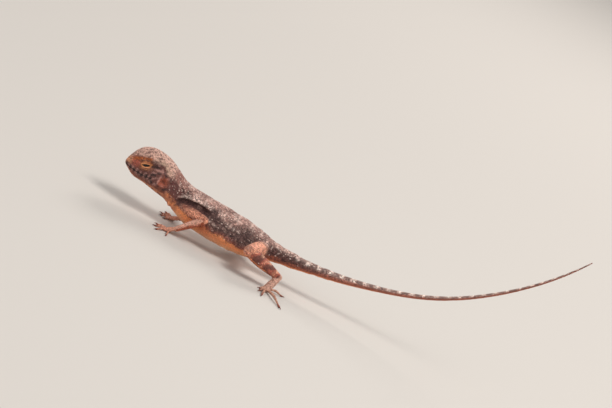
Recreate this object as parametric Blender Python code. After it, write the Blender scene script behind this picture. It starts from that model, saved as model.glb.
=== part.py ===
# Central netted dragon, standing, life size. Metres in the scene, millimetres in the named sizes.
# The snout points to -X, the tail to +X, up is +Z, and the animal's left side faces -Y.
import math

import bmesh
import bpy
import numpy as np
from mathutils import Vector

MM = 0.001
GAP = 0.3  # between touching parts

# Driving dimensions, measured from the tip of the snout along the body
SNOUT_TO_VENT = 79.0
TAIL_LENGTH = 155.0
HEAD_END = 23.2
FIRST_RING = 0.12
SNOUT_TIP_HEIGHT = 17.6
NECK_END = 31.2
ORIGIN_FROM_SNOUT = (105.28, 6.49)  # the middle of the whole animal's box, on the floor

# Body outline: distance from the snout, top, underside, half width, and how square the section is
HEAD_OUTLINE = (
    (0.00, 17.9, 17.2, 0.5, 2.0),
    (0.35, 19.4, 16.8, 1.6, 2.1),
    (1.20, 21.7, 16.2, 2.4, 2.2),
    (2.40, 24.3, 15.4, 3.1, 2.3),
    (3.80, 26.4, 14.5, 3.75, 2.4),
    (5.40, 28.0, 13.6, 4.4, 2.4),
    (7.20, 29.1, 13.1, 5.0, 2.4),
    (9.20, 29.7, 13.0, 5.65, 2.4),
    (11.8, 29.8, 12.9, 6.5, 2.4),
    (14.5, 29.5, 12.5, 7.3, 2.3),
    (17.5, 28.9, 11.9, 7.7, 2.2),
    (20.5, 27.9, 11.3, 7.4, 2.1),
    (23.5, 26.3, 10.7, 6.7, 2.1),
)
TRUNK_OUTLINE = (
    (26.6, 24.4, 9.4, 6.2, 2.1),
    (29.6, 23.1, 7.9, 6.3, 2.1),
    (33.0, 22.3, 6.4, 6.9, 2.1),
    (37.0, 21.9, 5.2, 7.7, 2.2),
    (42.0, 21.7, 4.5, 8.3, 2.2),
    (48.0, 21.5, 4.2, 8.9, 2.2),
    (54.0, 21.2, 4.0, 9.3, 2.2),
    (60.0, 20.7, 4.1, 9.3, 2.2),
    (66.0, 20.1, 4.4, 8.7, 2.2),
    (71.0, 19.2, 5.3, 7.4, 2.1),
    (75.5, 18.3, 6.9, 5.9, 2.0),
    (79.0, 17.6, 8.1, 4.8, 2.0),
)
TAIL_START = TRUNK_OUTLINE[-1][0]
# Along the tail, as a share of its length: how steeply it climbs, in degrees, and its radius
TAIL_CLIMB = ((0, 2.4), (0.24, 11.0), (0.42, 20.0), (0.62, 36.0), (0.82, 47.0), (1.0, 57.5))
TAIL_RADIUS = ((0, 4.75), (0.03, 4.1), (0.09, 3.2), (0.15, 2.5), (0.22, 2.05), (0.30, 1.6),
               (0.40, 1.25), (0.53, 1.02), (0.65, 0.86), (0.78, 0.7), (0.91, 0.52), (1.0, 0.3))
TAIL_CUTS = (0.0, 0.16, 0.35, 0.56, 0.78, 1.0)
TAIL_SIDES = (18, 14, 12, 10, 8)
TAIL_RINGS = (16, 14, 13, 13, 13)
TAIL_SWAY = 2.4  # sideways wave of the tail
TRUNK_BOW = 1.1  # the trunk bows to the left between neck and vent
WIDEST_SHARE = 0.42  # the widest level, as a share of the height above the underside

EYE_AT = (10.0, 3.75, 22.0)
EYE_RADIUS = 2.45
LID_INNER = 2.75
LID_OUTER = 3.2
LID_TILT = 20.0
LID_OPENING = (2.4, 0.85)  # half length and half height of the almond between the lids
EAR_AT = (20.6, 19.2)
EAR_RADIUS = (2.0, 2.2)
EAR_DEPTH = 0.8
EARDRUM_THICKNESS = 0.6
NOSTRIL_AT = (2.1, 2.75, 20.6)
NOSTRIL_RADIUS = 0.42
MOUTH_LINE = ((-2.0, 17.4), (1.0, 17.1), (5.0, 16.8), (9.0, 16.9), (12.5, 17.3), (15.0, 18.0))
JAW_REAR = ((16.4, 14.0), (17.2, 4.0))

# Swellings and hollows of the head and trunk: place (along, out, up), reach in each, and height
HEAD_RELIEF = (
    ((10.2, 5.9, 26.2), (4.2, 2.4, 1.4), 0.85),
    ((14.0, 6.2, 25.6), (2.0, 2.2, 1.2), 0.45),
    ((5.4, 3.8, 23.8), (2.6, 1.6, 1.0), 0.4),
    ((5.8, 4.4, 20.6), (1.9, 1.8, 1.5), -0.45),
    ((10.0, 6.6, 22.0), (3.0, 2.4, 2.0), -0.45),
    ((2.4, 2.8, 20.5), (1.2, 1.2, 1.0), 0.3),
    ((17.6, 7.2, 16.2), (3.6, 3.0, 3.2), 0.6),
    ((16.0, 6.8, 23.0), (2.3, 2.4, 1.6), -0.5),
    ((8.6, 0.0, 29.8), (4.4, 2.2, 3.0), -0.4),
    ((7.0, 4.9, 17.9), (6.0, 2.4, 0.8), 0.25),
    ((20.5, 5.5, 24.8), (3.0, 3.0, 1.6), 0.35),
)
TRUNK_RELIEF = (
    ((27.2, 0.0, 9.4), (1.4, 5.0, 2.6), 0.35),
    ((29.2, 0.0, 8.0), (1.2, 6.0, 2.6), -0.5),
    ((30.6, 6.2, 18.6), (0.9, 2.6, 3.0), -0.5),
    ((32.5, 6.8, 17.3), (2.2, 2.6, 1.0), 0.45),
    ((36.2, 7.2, 18.7), (2.4, 2.6, 1.0), 0.55),
    ((40.4, 7.8, 19.3), (2.6, 2.6, 1.0), 0.5),
    ((44.6, 8.2, 18.6), (2.6, 2.6, 1.1), 0.35),
    ((35.0, 7.2, 15.6), (3.4, 3.2, 1.4), -1.5),
    ((40.4, 8.0, 16.3), (3.6, 3.2, 1.3), -1.0),
    ((73.4, 4.8, 18.2), (3.0, 2.6, 1.6), 0.45),
    ((66.0, 8.4, 8.4), (3.2, 3.0, 2.6), -0.5),
)

# Limb joints: along from the snout, outwards, up. The left limbs are the ones on -Y.
LIMBS = {
    "left_fore": {
        "side": -1,
        "joints": ((33.6, 4.6, 12.9), (46.0, 12.0, 14.1), (36.0, 9.6, 3.1)),
        "palm": (33.0, 9.6, 1.3),
        "tips": ((28.6, 5.4), (25.9, 7.6), (25.6, 11.8), (27.4, 16.4), (33.6, 17.6)),
    },
    "right_fore": {
        "side": 1,
        "joints": ((33.4, 4.6, 12.7), (38.5, 17.6, 13.2), (34.6, 8.6, 3.1)),
        "palm": (31.6, 8.8, 1.3),
        "tips": ((27.4, 5.0), (24.9, 7.4), (24.6, 11.6), (26.4, 16.2), (32.4, 17.4)),
    },
    "left_hind": {
        "side": -1,
        "joints": ((74.8, 3.4, 12.8), (70.6, 17.2, 12.9), (88.2, 14.2, 7.7)),
        "palm": (85.2, 16.9, 1.5),
        "tips": ((81.8, 19.3), (82.7, 23.7), (85.0, 28.4), (95.6, 32.0), (94.7, 13.5)),
    },
    "right_hind": {
        "side": 1,
        "joints": ((74.8, 3.4, 12.8), (64.6, 16.4, 11.8), (77.4, 26.4, 6.8)),
        "palm": (75.0, 30.2, 1.5),
        "tips": ((70.6, 28.8), (67.8, 31.6), (64.8, 36.4), (63.0, 45.0), (81.8, 35.0)),
    },
}
# Radii of a limb piece at its start, belly and end, across and along its height
FORE_RADII = {
    "upper_arm": ((2.6, 2.7), (2.4, 2.55), (1.8, 1.9)),
    "forearm": ((1.8, 1.85), (1.75, 1.85), (1.15, 1.2)),
}
HIND_RADII = {
    "thigh": ((3.5, 3.7), (3.4, 3.6), (2.75, 2.85)),
    "shin": ((2.7, 2.75), (2.85, 2.95), (1.5, 1.55)),
}
FORE_DIGITS = {"radius": (0.66, 0.44), "arch": 0.7, "claw": 1.5}
HIND_DIGITS = {"radius": (0.84, 0.5), "arch": 1.0, "claw": 1.9}
FORE_PALM = (1.75, 1.0)
HIND_PALM = (2.05, 1.3)
CLAW_RADIUS = (0.36, 0.1)
KNUCKLE_SWELL = 0.1
DIGIT_SIDES = 8
TRUNK_SIDES = 26
BALL_SIDES, BALL_RINGS = 18, 12

COLOURS = {
    "hide": (0.30, 0.22, 0.18),
    "limb_hide": (0.48, 0.31, 0.23),
    "jaw_hide": (0.46, 0.32, 0.25),
    "lid": (0.62, 0.33, 0.12),
    "eye": (0.02, 0.015, 0.01),
    "eardrum": (0.42, 0.2, 0.14),
}


def clear_scene():
    for obj in list(bpy.data.objects):
        bpy.data.objects.remove(obj)


def material_named(name):
    material = bpy.data.materials.get(name)
    if material is None:
        material = bpy.data.materials.new(name)
        material.use_nodes = True
        shader = material.node_tree.nodes["Principled BSDF"]
        shader.inputs["Base Color"].default_value = (*COLOURS[name], 1)
        shader.inputs["Roughness"].default_value = 0.15 if name == "eye" else 0.75
        shader.inputs["Metallic"].default_value = 0.0
    return material


def smooth_line(points):
    # A smooth curve through (place, value) pairs, as a function of place
    places = np.array([p[0] for p in points], float)
    values = np.array([p[1] for p in points], float)
    slopes = np.gradient(values, places)

    def at(x):
        x = np.clip(np.asarray(x, float), places[0], places[-1])
        i = np.clip(np.searchsorted(places, x, side="right") - 1, 0, len(places) - 2)
        width = places[i + 1] - places[i]
        t = (x - places[i]) / width
        rise = (2 * t**3 - 3 * t**2 + 1) * values[i] + (3 * t**2 - 2 * t**3) * values[i + 1]
        bend = (t**3 - 2 * t**2 + t) * slopes[i] + (t**3 - t**2) * slopes[i + 1]
        return rise + width * bend

    return at


OUTLINE = HEAD_OUTLINE + TRUNK_OUTLINE
TOP, UNDER, HALF_WIDTH, SQUARE = (
    smooth_line([(row[0], row[k]) for row in OUTLINE]) for k in (1, 2, 3, 4)
)
CLIMB = smooth_line(TAIL_CLIMB)
TAIL_R = smooth_line(TAIL_RADIUS)


def in_metres(point):
    # From the snout's millimetres to the model's frame
    x, y, z = point
    return ((x - ORIGIN_FROM_SNOUT[0]) * MM, (y - ORIGIN_FROM_SNOUT[1]) * MM, z * MM)


def object_from(name, material, mesh_tools):
    mesh = bpy.data.meshes.new(name)
    bmesh.ops.recalc_face_normals(mesh_tools, faces=mesh_tools.faces[:])
    mesh_tools.to_mesh(mesh)
    mesh_tools.free()
    mesh.materials.append(material_named(material))
    obj = bpy.data.objects.new(name, mesh)
    bpy.context.scene.collection.objects.link(obj)
    return obj


def skin_over_rings(name, material, rings, first_tip=None, last_tip=None):
    # A closed surface over rings of points; an end is a flat cap, or drawn to a tip
    tools = bmesh.new()
    loops = [[tools.verts.new(in_metres(p)) for p in ring] for ring in rings]
    count = len(loops[0])
    for one, two in zip(loops, loops[1:]):
        for k in range(count):
            after = (k + 1) % count
            tools.faces.new((one[k], one[after], two[after], two[k]))
    for loop, tip in ((loops[0], first_tip), (loops[-1], last_tip)):
        if tip is None:
            tools.faces.new(loop)
            continue
        point = tools.verts.new(in_metres(tip))
        for k in range(count):
            tools.faces.new((loop[k], loop[(k + 1) % count], point))
    return object_from(name, material, tools)


def sway(along):
    # Sideways place of the spine at a distance from the snout
    if along <= TAIL_START:
        share = np.clip((along - HEAD_END) / (SNOUT_TO_VENT - HEAD_END), 0, 1)
        return -TRUNK_BOW * math.sin(math.pi * share) ** 2
    share = (along - TAIL_START) / TAIL_LENGTH
    return TAIL_SWAY * math.sin(1.5 * math.pi * share) * min(1.0, share * 3)


def relief_at(points, centre, features, grow):
    # Points of one ring moved outwards by the swellings and hollows near them
    out = points - centre
    out /= np.maximum(np.linalg.norm(out, axis=1, keepdims=True), 1e-6)
    beside = np.abs(points[:, 1] - centre[1])
    lift = np.full(len(points), float(grow))
    for place, reach, height in features:
        away = ((points[:, 0] - place[0]) / reach[0]) ** 2
        away += ((beside - place[1]) / reach[1]) ** 2
        away += ((points[:, 2] - place[2]) / reach[2]) ** 2
        lift += height * np.exp(-away)
    return points + out * lift[:, None]


def trunk_ring(along, sides, grow=0.0):
    top, under, half, square = TOP(along), UNDER(along), HALF_WIDTH(along), SQUARE(along)
    middle = under + (top - under) * WIDEST_SHARE
    angle = np.arange(sides) * 2 * math.pi / sides
    across, above = np.cos(angle), np.sin(angle)
    power = 2 / square
    y = half * np.sign(across) * np.abs(across) ** power
    z = np.where(above > 0, top - middle, middle - under) * np.sign(above) * np.abs(above) ** power
    centre = np.array([along, sway(along), middle])
    points = centre + np.stack([np.zeros(sides), y, z], axis=1)
    features = HEAD_RELIEF if along < HEAD_OUTLINE[-1][0] else TRUNK_RELIEF
    return relief_at(points, centre, features, grow)


def tail_line(steps=240):
    # Places along the tail, found by walking up its climb
    shares = np.linspace(0, 1, steps)
    slope = np.radians(CLIMB(shares))
    step = TAIL_LENGTH / (steps - 1)
    x = TAIL_START + np.concatenate([[0], np.cumsum(np.cos((slope[1:] + slope[:-1]) / 2) * step)])
    start = (TOP(TAIL_START) + UNDER(TAIL_START)) / 2
    z = start + np.concatenate([[0], np.cumsum(np.sin((slope[1:] + slope[:-1]) / 2) * step)])
    y = [sway(TAIL_START + share * TAIL_LENGTH) for share in shares]
    return shares, np.stack([x, y, z], axis=1)


TAIL_SHARES, TAIL_PLACES = tail_line()


def tail_ring(share, sides):
    centre = np.array([np.interp(share, TAIL_SHARES, TAIL_PLACES[:, k]) for k in range(3)])
    slope = math.radians(float(CLIMB(share)))
    radius = float(TAIL_R(share))
    angle = np.arange(sides) * 2 * math.pi / sides
    up = np.array([-math.sin(slope), 0, math.cos(slope)])
    across = np.array([0.0, 1.0, 0.0])
    return centre + radius * (np.cos(angle)[:, None] * across + np.sin(angle)[:, None] * up)


def trunk_piece(name, start, end, count, sides, grow=0.0):
    places = np.linspace(start, end, count)
    rings = [trunk_ring(place, sides, grow) for place in places]
    return skin_over_rings(name, "hide", rings)


def whole_head(name, count=36, sides=40):
    # Closer rings at the blunt snout
    steps = np.linspace(0, 1, count)
    places = FIRST_RING + (HEAD_END - FIRST_RING) * steps**1.35
    rings = [trunk_ring(place, sides) for place in places]
    return skin_over_rings(name, "hide", rings, first_tip=(0, sway(0), SNOUT_TIP_HEIGHT))


def boolean(obj, cutter, operation="DIFFERENCE", solver="EXACT"):
    change = obj.modifiers.new(operation.lower(), "BOOLEAN")
    change.operation = operation
    change.solver = solver
    change.object = cutter
    apply_modifiers(obj)
    bpy.data.objects.remove(cutter)


def union_all(obj, others):
    group = bpy.data.collections.new("joined")
    bpy.context.scene.collection.children.link(group)
    for other in others:
        bpy.context.scene.collection.objects.unlink(other)
        group.objects.link(other)
    change = obj.modifiers.new("union", "BOOLEAN")
    change.operation = "UNION"
    change.solver = "EXACT"
    change.operand_type = "COLLECTION"
    change.collection = group
    apply_modifiers(obj)
    for other in others:
        bpy.data.objects.remove(other)
    bpy.data.collections.remove(group)


def apply_modifiers(obj):
    bpy.context.view_layer.update()
    graph = bpy.context.evaluated_depsgraph_get()
    mesh = bpy.data.meshes.new_from_object(obj.evaluated_get(graph))
    obj.modifiers.clear()
    obj.data = mesh


def keep_largest(obj):
    # Only the largest closed surface of the mesh stays
    tools = bmesh.new()
    tools.from_mesh(obj.data)
    bmesh.ops.remove_doubles(tools, verts=tools.verts[:], dist=1e-6)
    bmesh.ops.dissolve_degenerate(tools, edges=tools.edges[:], dist=1e-6)
    unseen = set(tools.verts)
    groups = []
    while unseen:
        stack = [unseen.pop()]
        group = set(stack)
        while stack:
            for edge in stack.pop().link_edges:
                for vert in edge.verts:
                    if vert in unseen:
                        unseen.remove(vert)
                        group.add(vert)
                        stack.append(vert)
        groups.append(group)
    groups.sort(key=lambda g: max(v.co.x for v in g) - min(v.co.x for v in g))
    for group in groups[:-1]:
        bmesh.ops.delete(tools, geom=list(group), context="VERTS")
    tools.to_mesh(obj.data)
    tools.free()


def sphere(name, centre, radius, sides, rings, material="hide"):
    tools = bmesh.new()
    bmesh.ops.create_uvsphere(tools, u_segments=sides, v_segments=rings, radius=radius * MM)
    bmesh.ops.translate(tools, verts=tools.verts[:], vec=Vector(in_metres(centre)))
    return object_from(name, material, tools)


def slab(name, outline, low_y, high_y):
    # A flat outline in x and z, drawn out sideways; used to cut
    tools = bmesh.new()
    near = [tools.verts.new(in_metres((x, low_y, z))) for x, z in outline]
    far = [tools.verts.new(in_metres((x, high_y, z))) for x, z in outline]
    count = len(outline)
    tools.faces.new(near)
    tools.faces.new(far)
    for k in range(count):
        after = (k + 1) % count
        tools.faces.new((near[k], near[after], far[after], far[k]))
    return object_from(name, "hide", tools)


def disc(name, side, radius_share, inner, outer, material):
    # An oval plug across the side of the head, between two distances from the middle
    angle = np.arange(20) * 2 * math.pi / 20
    x = EAR_AT[0] + EAR_RADIUS[0] * radius_share * np.cos(angle)
    z = EAR_AT[1] + EAR_RADIUS[1] * radius_share * np.sin(angle)
    rings = [np.stack([x, np.full(20, side * y), z], axis=1) for y in (inner, outer)]
    return skin_over_rings(name, material, rings)


def jaw_outline(inset):
    # The outline of the lower jaw's half of the head, moved in from the mouth line
    lips = [(x, z - inset) for x, z in MOUTH_LINE[:-1]]
    corner = (MOUTH_LINE[-1][0] - inset, MOUTH_LINE[-1][1] - inset)
    rear = [(x - inset, z) for x, z in JAW_REAR]
    return lips + [corner] + rear + [(MOUTH_LINE[0][0], JAW_REAR[-1][1])]


def almond_cutter(side):
    # The opening between the lids, as a slim lens drawn outwards from the eye
    half_long, half_high = LID_OPENING
    tilt = math.radians(LID_TILT)
    angle = np.arange(28) * 2 * math.pi / 28
    along = half_long * np.cos(angle)
    above = half_high * np.sign(np.sin(angle)) * np.abs(np.sin(angle)) ** 1.25
    x = EYE_AT[0] + along * math.cos(tilt) - above * math.sin(tilt)
    z = EYE_AT[2] + along * math.sin(tilt) + above * math.cos(tilt)
    rings = []
    for y in (EYE_AT[1] + 0.2, EYE_AT[1] + LID_OUTER + 2):
        rings.append(np.stack([x, np.full(28, side * y), z], axis=1))
    return skin_over_rings("almond", "hide", rings)


def build_lids(side, word):
    centre = (EYE_AT[0], side * EYE_AT[1], EYE_AT[2])
    tilt = math.radians(LID_TILT)
    reach = LID_OUTER + 2
    inner_limit = EYE_AT[1] + 0.9
    for lid, sign in (("upper", 1), ("lower", -1)):
        shell = sphere(f"{lid}_eyelid_{word}", centre, LID_OUTER, BALL_SIDES, BALL_RINGS, "lid")
        boolean(shell, sphere("inside", centre, LID_INNER, BALL_SIDES, BALL_RINGS))
        boolean(shell, almond_cutter(side))
        # Away from the other lid, past the corners of the eye
        near, far = sign * GAP / 2, -sign * reach
        line = [(-reach, near), (reach, near), (reach, far), (-reach, far)]
        turned = [
            (
                EYE_AT[0] + a * math.cos(tilt) - b * math.sin(tilt),
                EYE_AT[2] + a * math.sin(tilt) + b * math.cos(tilt),
            )
            for a, b in line
        ]
        boolean(shell, slab("other_half", turned, -12, 12))
        around = [
            (EYE_AT[0] - reach, EYE_AT[2] - reach),
            (EYE_AT[0] + reach, EYE_AT[2] - reach),
            (EYE_AT[0] + reach, EYE_AT[2] + reach),
            (EYE_AT[0] - reach, EYE_AT[2] + reach),
        ]
        low, high = sorted((-side * 12, side * inner_limit))
        boolean(shell, slab("inner_side", around, low, high))
        keep_largest(shell)


def build_head():
    head = whole_head("head")
    jaw = whole_head("lower_jaw")
    boolean(head, slab("below_mouth", jaw_outline(0.0), -12, 12))
    boolean(jaw, slab("jaw_side", jaw_outline(GAP), -12, 12), "INTERSECT")
    jaw.data.materials[0] = material_named("jaw_hide")
    for side, word in ((-1, "left"), (1, "right")):
        centre = (EYE_AT[0], side * EYE_AT[1], EYE_AT[2])
        boolean(head, sphere("socket", centre, LID_OUTER + GAP, BALL_SIDES, BALL_RINGS))
        sphere(f"eye_{word}", centre, EYE_RADIUS, BALL_SIDES, BALL_RINGS, "eye")
        surface = float(HALF_WIDTH(EAR_AT[0]))
        boolean(head, disc("ear_pit", side, 1.0, surface - EAR_DEPTH - EARDRUM_THICKNESS, 12, "hide"))
        inner = surface - EAR_DEPTH - EARDRUM_THICKNESS + GAP
        disc(f"eardrum_{word}", side, 0.86, inner, inner + EARDRUM_THICKNESS, "eardrum")
        nostril = (NOSTRIL_AT[0], side * NOSTRIL_AT[1], NOSTRIL_AT[2])
        boolean(head, sphere("nostril", nostril, NOSTRIL_RADIUS, 10, 6))
        build_lids(side, word)
    keep_largest(head)
    keep_largest(jaw)


def build_trunk_and_tail():
    trunk_piece("neck", HEAD_END + GAP, NECK_END, 10, TRUNK_SIDES)
    trunk_piece("torso", NECK_END + GAP, TAIL_START - GAP / 2, 32, TRUNK_SIDES)
    pieces = zip(TAIL_CUTS, TAIL_CUTS[1:], TAIL_SIDES, TAIL_RINGS)
    for number, (start, end, sides, count) in enumerate(pieces, 1):
        last = end == TAIL_CUTS[-1]
        half_gap = GAP / 2 / TAIL_LENGTH
        shares = np.linspace(start + half_gap, end - (0 if last else half_gap), count)
        rings = [tail_ring(share, sides) for share in shares]
        tip = None
        if last:
            reach = TAIL_RADIUS[-1][1] * 1.5
            slope = math.radians(TAIL_CLIMB[-1][1])
            tip = TAIL_PLACES[-1] + reach * np.array([math.cos(slope), 0, math.sin(slope)])
        skin_over_rings(f"tail_{number}", "hide", rings, last_tip=tip)


def limb_rings(start, end, radii, sides=14, grow=0.0):
    # Rings from one joint to the next, with a rounded end at each joint
    start, end = np.array(start, float), np.array(end, float)
    axis = end - start
    length = np.linalg.norm(axis)
    axis /= length
    across = np.cross(axis, (0, 0, 1))
    if np.linalg.norm(across) < 0.15:
        across = np.array([1.0, 0, 0])
    across /= np.linalg.norm(across)
    up = np.cross(across, axis)
    wide = smooth_line([(0, radii[0][0]), (0.35, radii[1][0]), (1, radii[2][0])])
    high = smooth_line([(0, radii[0][1]), (0.35, radii[1][1]), (1, radii[2][1])])
    angle = np.arange(sides) * 2 * math.pi / sides
    rings = []
    first, last = radii[0][0] + grow, radii[2][0] + grow
    places = [(-first * math.cos(a), math.sin(a)) for a in np.radians((18, 45, 70))]
    places += [(length * share, 1.0) for share in np.linspace(0, 1, 7)]
    places += [(length + last * math.cos(a), math.sin(a)) for a in np.radians((70, 45, 18))]
    for place, shrink in places:
        share = min(max(place / length, 0), 1)
        w, h = (float(wide(share)) + grow) * shrink, (float(high(share)) + grow) * shrink
        centre = start + axis * place
        rings.append(centre + np.cos(angle)[:, None] * across * w + np.sin(angle)[:, None] * up * h)
    tips = (start - axis * first, end + axis * last)
    return rings, tips


def limb_piece(name, start, end, radii, material="limb_hide", grow=0.0, sides=14):
    rings, tips = limb_rings(start, end, radii, sides, grow)
    return skin_over_rings(name, material, rings, tips[0], tips[1])


def digit(base, tip, style, size=1.0):
    # An arched toe that ends in a curved claw
    base, tip = np.array(base, float), np.array(tip, float)
    run = tip - base
    length = np.linalg.norm(run[:2])
    ahead = np.array([run[0], run[1], 0]) / length
    claw = style["claw"] * size
    flesh = length - claw * 0.8
    r0, r1 = style["radius"][0] * size, style["radius"][1] * size
    centres, radii = [], []
    arch = style["arch"] * min(1.0, length / 9)
    for share in np.linspace(0, 1, 7):
        radius = r0 + (r1 - r0) * share
        radius *= 1 + KNUCKLE_SWELL * math.cos(4 * math.pi * share)
        level = base[2] * (1 - share) ** 2 + radius * 0.86 * (1 - (1 - share) ** 2)
        level += arch * math.sin(math.pi * share) ** 1.5
        centres.append(base * (1, 1, 0) + ahead * flesh * share + np.array([0, 0, level]))
        radii.append(radius)
    end = centres[-1]
    for share in (0.12, 0.6):
        drop = (end[2] - 0.12) * share**2 - 0.25 * math.sin(math.pi * share)
        centres.append(end + ahead * claw * share - np.array([0, 0, drop]))
        radii.append(CLAW_RADIUS[0] + (CLAW_RADIUS[1] - CLAW_RADIUS[0]) * share)
    last = end + ahead * claw + np.array([0, 0, 0.1 - end[2]])
    across = np.array([-ahead[1], ahead[0], 0])
    angle = np.arange(DIGIT_SIDES) * 2 * math.pi / DIGIT_SIDES
    rings = []
    for k, (centre, radius) in enumerate(zip(centres, radii)):
        following = centres[min(k + 1, len(centres) - 1)] - centres[max(k - 1, 0)]
        following /= np.linalg.norm(following)
        up = np.cross(following, across)
        up *= np.sign(up[2])
        rings.append(centre + radius * (np.cos(angle)[:, None] * across + np.sin(angle)[:, None] * up))
    return skin_over_rings("digit", "limb_hide", rings, centres[0] - ahead * r0 * 0.5, last)


def build_foot(name, limb, wrist, style, palm_size, parent):
    side = limb["side"]
    palm = np.array(limb["palm"], float) * (1, side, 1)
    wrist = np.array(wrist, float)
    wide, high = palm_size
    mean_tip = np.mean([(x, side * y, 0.6) for x, y in limb["tips"][1:4]], axis=0)
    ahead = mean_tip - palm
    ahead[2] = 0
    ahead /= np.linalg.norm(ahead)
    knuckles = palm + ahead * 1.1
    knuckles[2] = high * 0.84
    pad_radii = ((wide * 0.72, high * 0.95), (wide, high), (wide, high * 0.9))
    foot = limb_piece(name, wrist, knuckles, pad_radii, sides=14)
    across = np.array([-ahead[1], ahead[0], 0])
    if np.dot(across, np.array([limb["tips"][0][0], side * limb["tips"][0][1], 0]) - palm) < 0:
        across = -across
    toes = []
    last = len(limb["tips"]) - 1
    for number, (x, y) in enumerate(limb["tips"]):
        spread = wide * (0.62 - 1.24 * number / last)
        base = knuckles + across * spread - ahead * (1.3 if number == last else 0.3)
        base[2] = high * 0.8
        size = 0.86 if number in (0, last) else 1.0
        toes.append(digit(base, (x, side * y, 0.1), style, size))
    union_all(foot, toes)
    boolean(foot, parent)
    floor = [(-5, -8), (150, -8), (150, 0), (-5, 0)]
    boolean(foot, slab("floor", floor, -60, 60))
    keep_largest(foot)


def build_limb(word, limb):
    fore = word.endswith("fore")
    radii = FORE_RADII if fore else HIND_RADII
    side = limb["side"]
    joints = [np.array(j, float) * (1, side, 1) for j in limb["joints"]]
    names = list(radii)
    side_word = word.split("_")[0]
    upper = limb_piece(f"{names[0]}_{side_word}", joints[0], joints[1], radii[names[0]])
    boolean(upper, trunk_piece("torso_side", NECK_END - 3, TAIL_START + 3, 36, TRUNK_SIDES, GAP))
    keep_largest(upper)
    lower = limb_piece(f"{names[1]}_{side_word}", joints[1], joints[2], radii[names[1]])
    boolean(lower, limb_piece("upper_side", joints[0], joints[1], radii[names[0]], grow=GAP))
    keep_largest(lower)
    parent = limb_piece("lower_side", joints[1], joints[2], radii[names[1]], grow=GAP)
    foot_name = f"{'hand' if fore else 'foot'}_{side_word}"
    style, palm_size = (FORE_DIGITS, FORE_PALM) if fore else (HIND_DIGITS, HIND_PALM)
    build_foot(foot_name, limb, joints[2], style, palm_size, parent)


def shade(obj):
    obj.data.shade_smooth()
    obj.data.set_sharp_from_angle(angle=math.radians(50))


def main():
    clear_scene()
    build_head()
    build_trunk_and_tail()
    for word, limb in LIMBS.items():
        build_limb(word, limb)
    group = bpy.data.collections.new("central_netted_dragon")
    bpy.context.scene.collection.children.link(group)
    for obj in list(bpy.context.scene.collection.objects):
        group.objects.link(obj)
        bpy.context.scene.collection.objects.unlink(obj)
        shade(obj)


main()
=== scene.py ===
import math
import bmesh
import bpy
import numpy as np
from mathutils import Matrix, Vector
from mathutils.bvhtree import BVHTree
from mathutils.kdtree import KDTree


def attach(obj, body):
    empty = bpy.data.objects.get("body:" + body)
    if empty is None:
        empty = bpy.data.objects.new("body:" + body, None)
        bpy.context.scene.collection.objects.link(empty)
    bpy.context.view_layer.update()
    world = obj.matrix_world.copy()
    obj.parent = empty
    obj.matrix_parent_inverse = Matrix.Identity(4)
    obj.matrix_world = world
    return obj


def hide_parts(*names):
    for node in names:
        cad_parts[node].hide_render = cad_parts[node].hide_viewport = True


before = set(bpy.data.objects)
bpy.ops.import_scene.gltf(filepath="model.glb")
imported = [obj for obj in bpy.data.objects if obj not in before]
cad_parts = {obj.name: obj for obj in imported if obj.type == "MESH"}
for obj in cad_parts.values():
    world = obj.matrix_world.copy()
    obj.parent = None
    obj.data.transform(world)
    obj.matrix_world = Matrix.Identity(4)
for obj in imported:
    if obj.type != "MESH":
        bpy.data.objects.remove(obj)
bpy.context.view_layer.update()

# everything below is in millimetres from the tip of the snout, as the body was measured,
# and is turned into the frame's metres when a mesh is made
mm = 0.001
originFromSnout = np.array([105.28, 6.49, 0.0])
farAway = 9.0  # stands for the distance to a part that isn't near, as a share of its radius
offFloor = 0.12  # no scale grows lower than this, under hands and feet
acrossHead = 12  # further out from the middle plane than any skin of the head

body = {
    # along from the snout, top, underside, half width
    "outline": (
        (0.0, 17.9, 17.2, 0.5), (0.35, 19.4, 16.8, 1.6), (1.2, 21.7, 16.2, 2.4), (2.4, 24.3, 15.4, 3.1),
        (3.8, 26.4, 14.5, 3.75), (5.4, 28.0, 13.6, 4.4), (7.2, 29.1, 13.1, 5.0), (9.2, 29.7, 13.0, 5.65),
        (11.8, 29.8, 12.9, 6.5), (14.5, 29.5, 12.5, 7.3), (17.5, 28.9, 11.9, 7.7), (20.5, 27.9, 11.3, 7.4),
        (23.5, 26.3, 10.7, 6.7), (26.6, 24.4, 9.4, 6.2), (29.6, 23.1, 7.9, 6.3), (33.0, 22.3, 6.4, 6.9),
        (37.0, 21.9, 5.2, 7.7), (42.0, 21.7, 4.5, 8.3), (48.0, 21.5, 4.2, 8.9), (54.0, 21.2, 4.0, 9.3),
        (60.0, 20.7, 4.1, 9.3), (66.0, 20.1, 4.4, 8.7), (71.0, 19.2, 5.3, 7.4), (75.5, 18.3, 6.9, 5.9),
        (79.0, 17.6, 8.1, 4.8),
    ),
    "widestShare": 0.42,
    "headEnd": 23.2,
    "vent": 79.0,
    "trunkBow": 1.1,
    "tailLength": 155.0,
    "tailClimb": ((0, 2.4), (0.24, 11.0), (0.42, 20.0), (0.62, 36.0), (0.82, 47.0), (1.0, 57.5)),
    "tailRadius": (
        (0, 4.75), (0.03, 4.1), (0.09, 3.2), (0.15, 2.5), (0.22, 2.05), (0.30, 1.6),
        (0.40, 1.25), (0.53, 1.02), (0.65, 0.86), (0.78, 0.7), (0.91, 0.52), (1.0, 0.3),
    ),
    "tailSway": 2.4,
}
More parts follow.
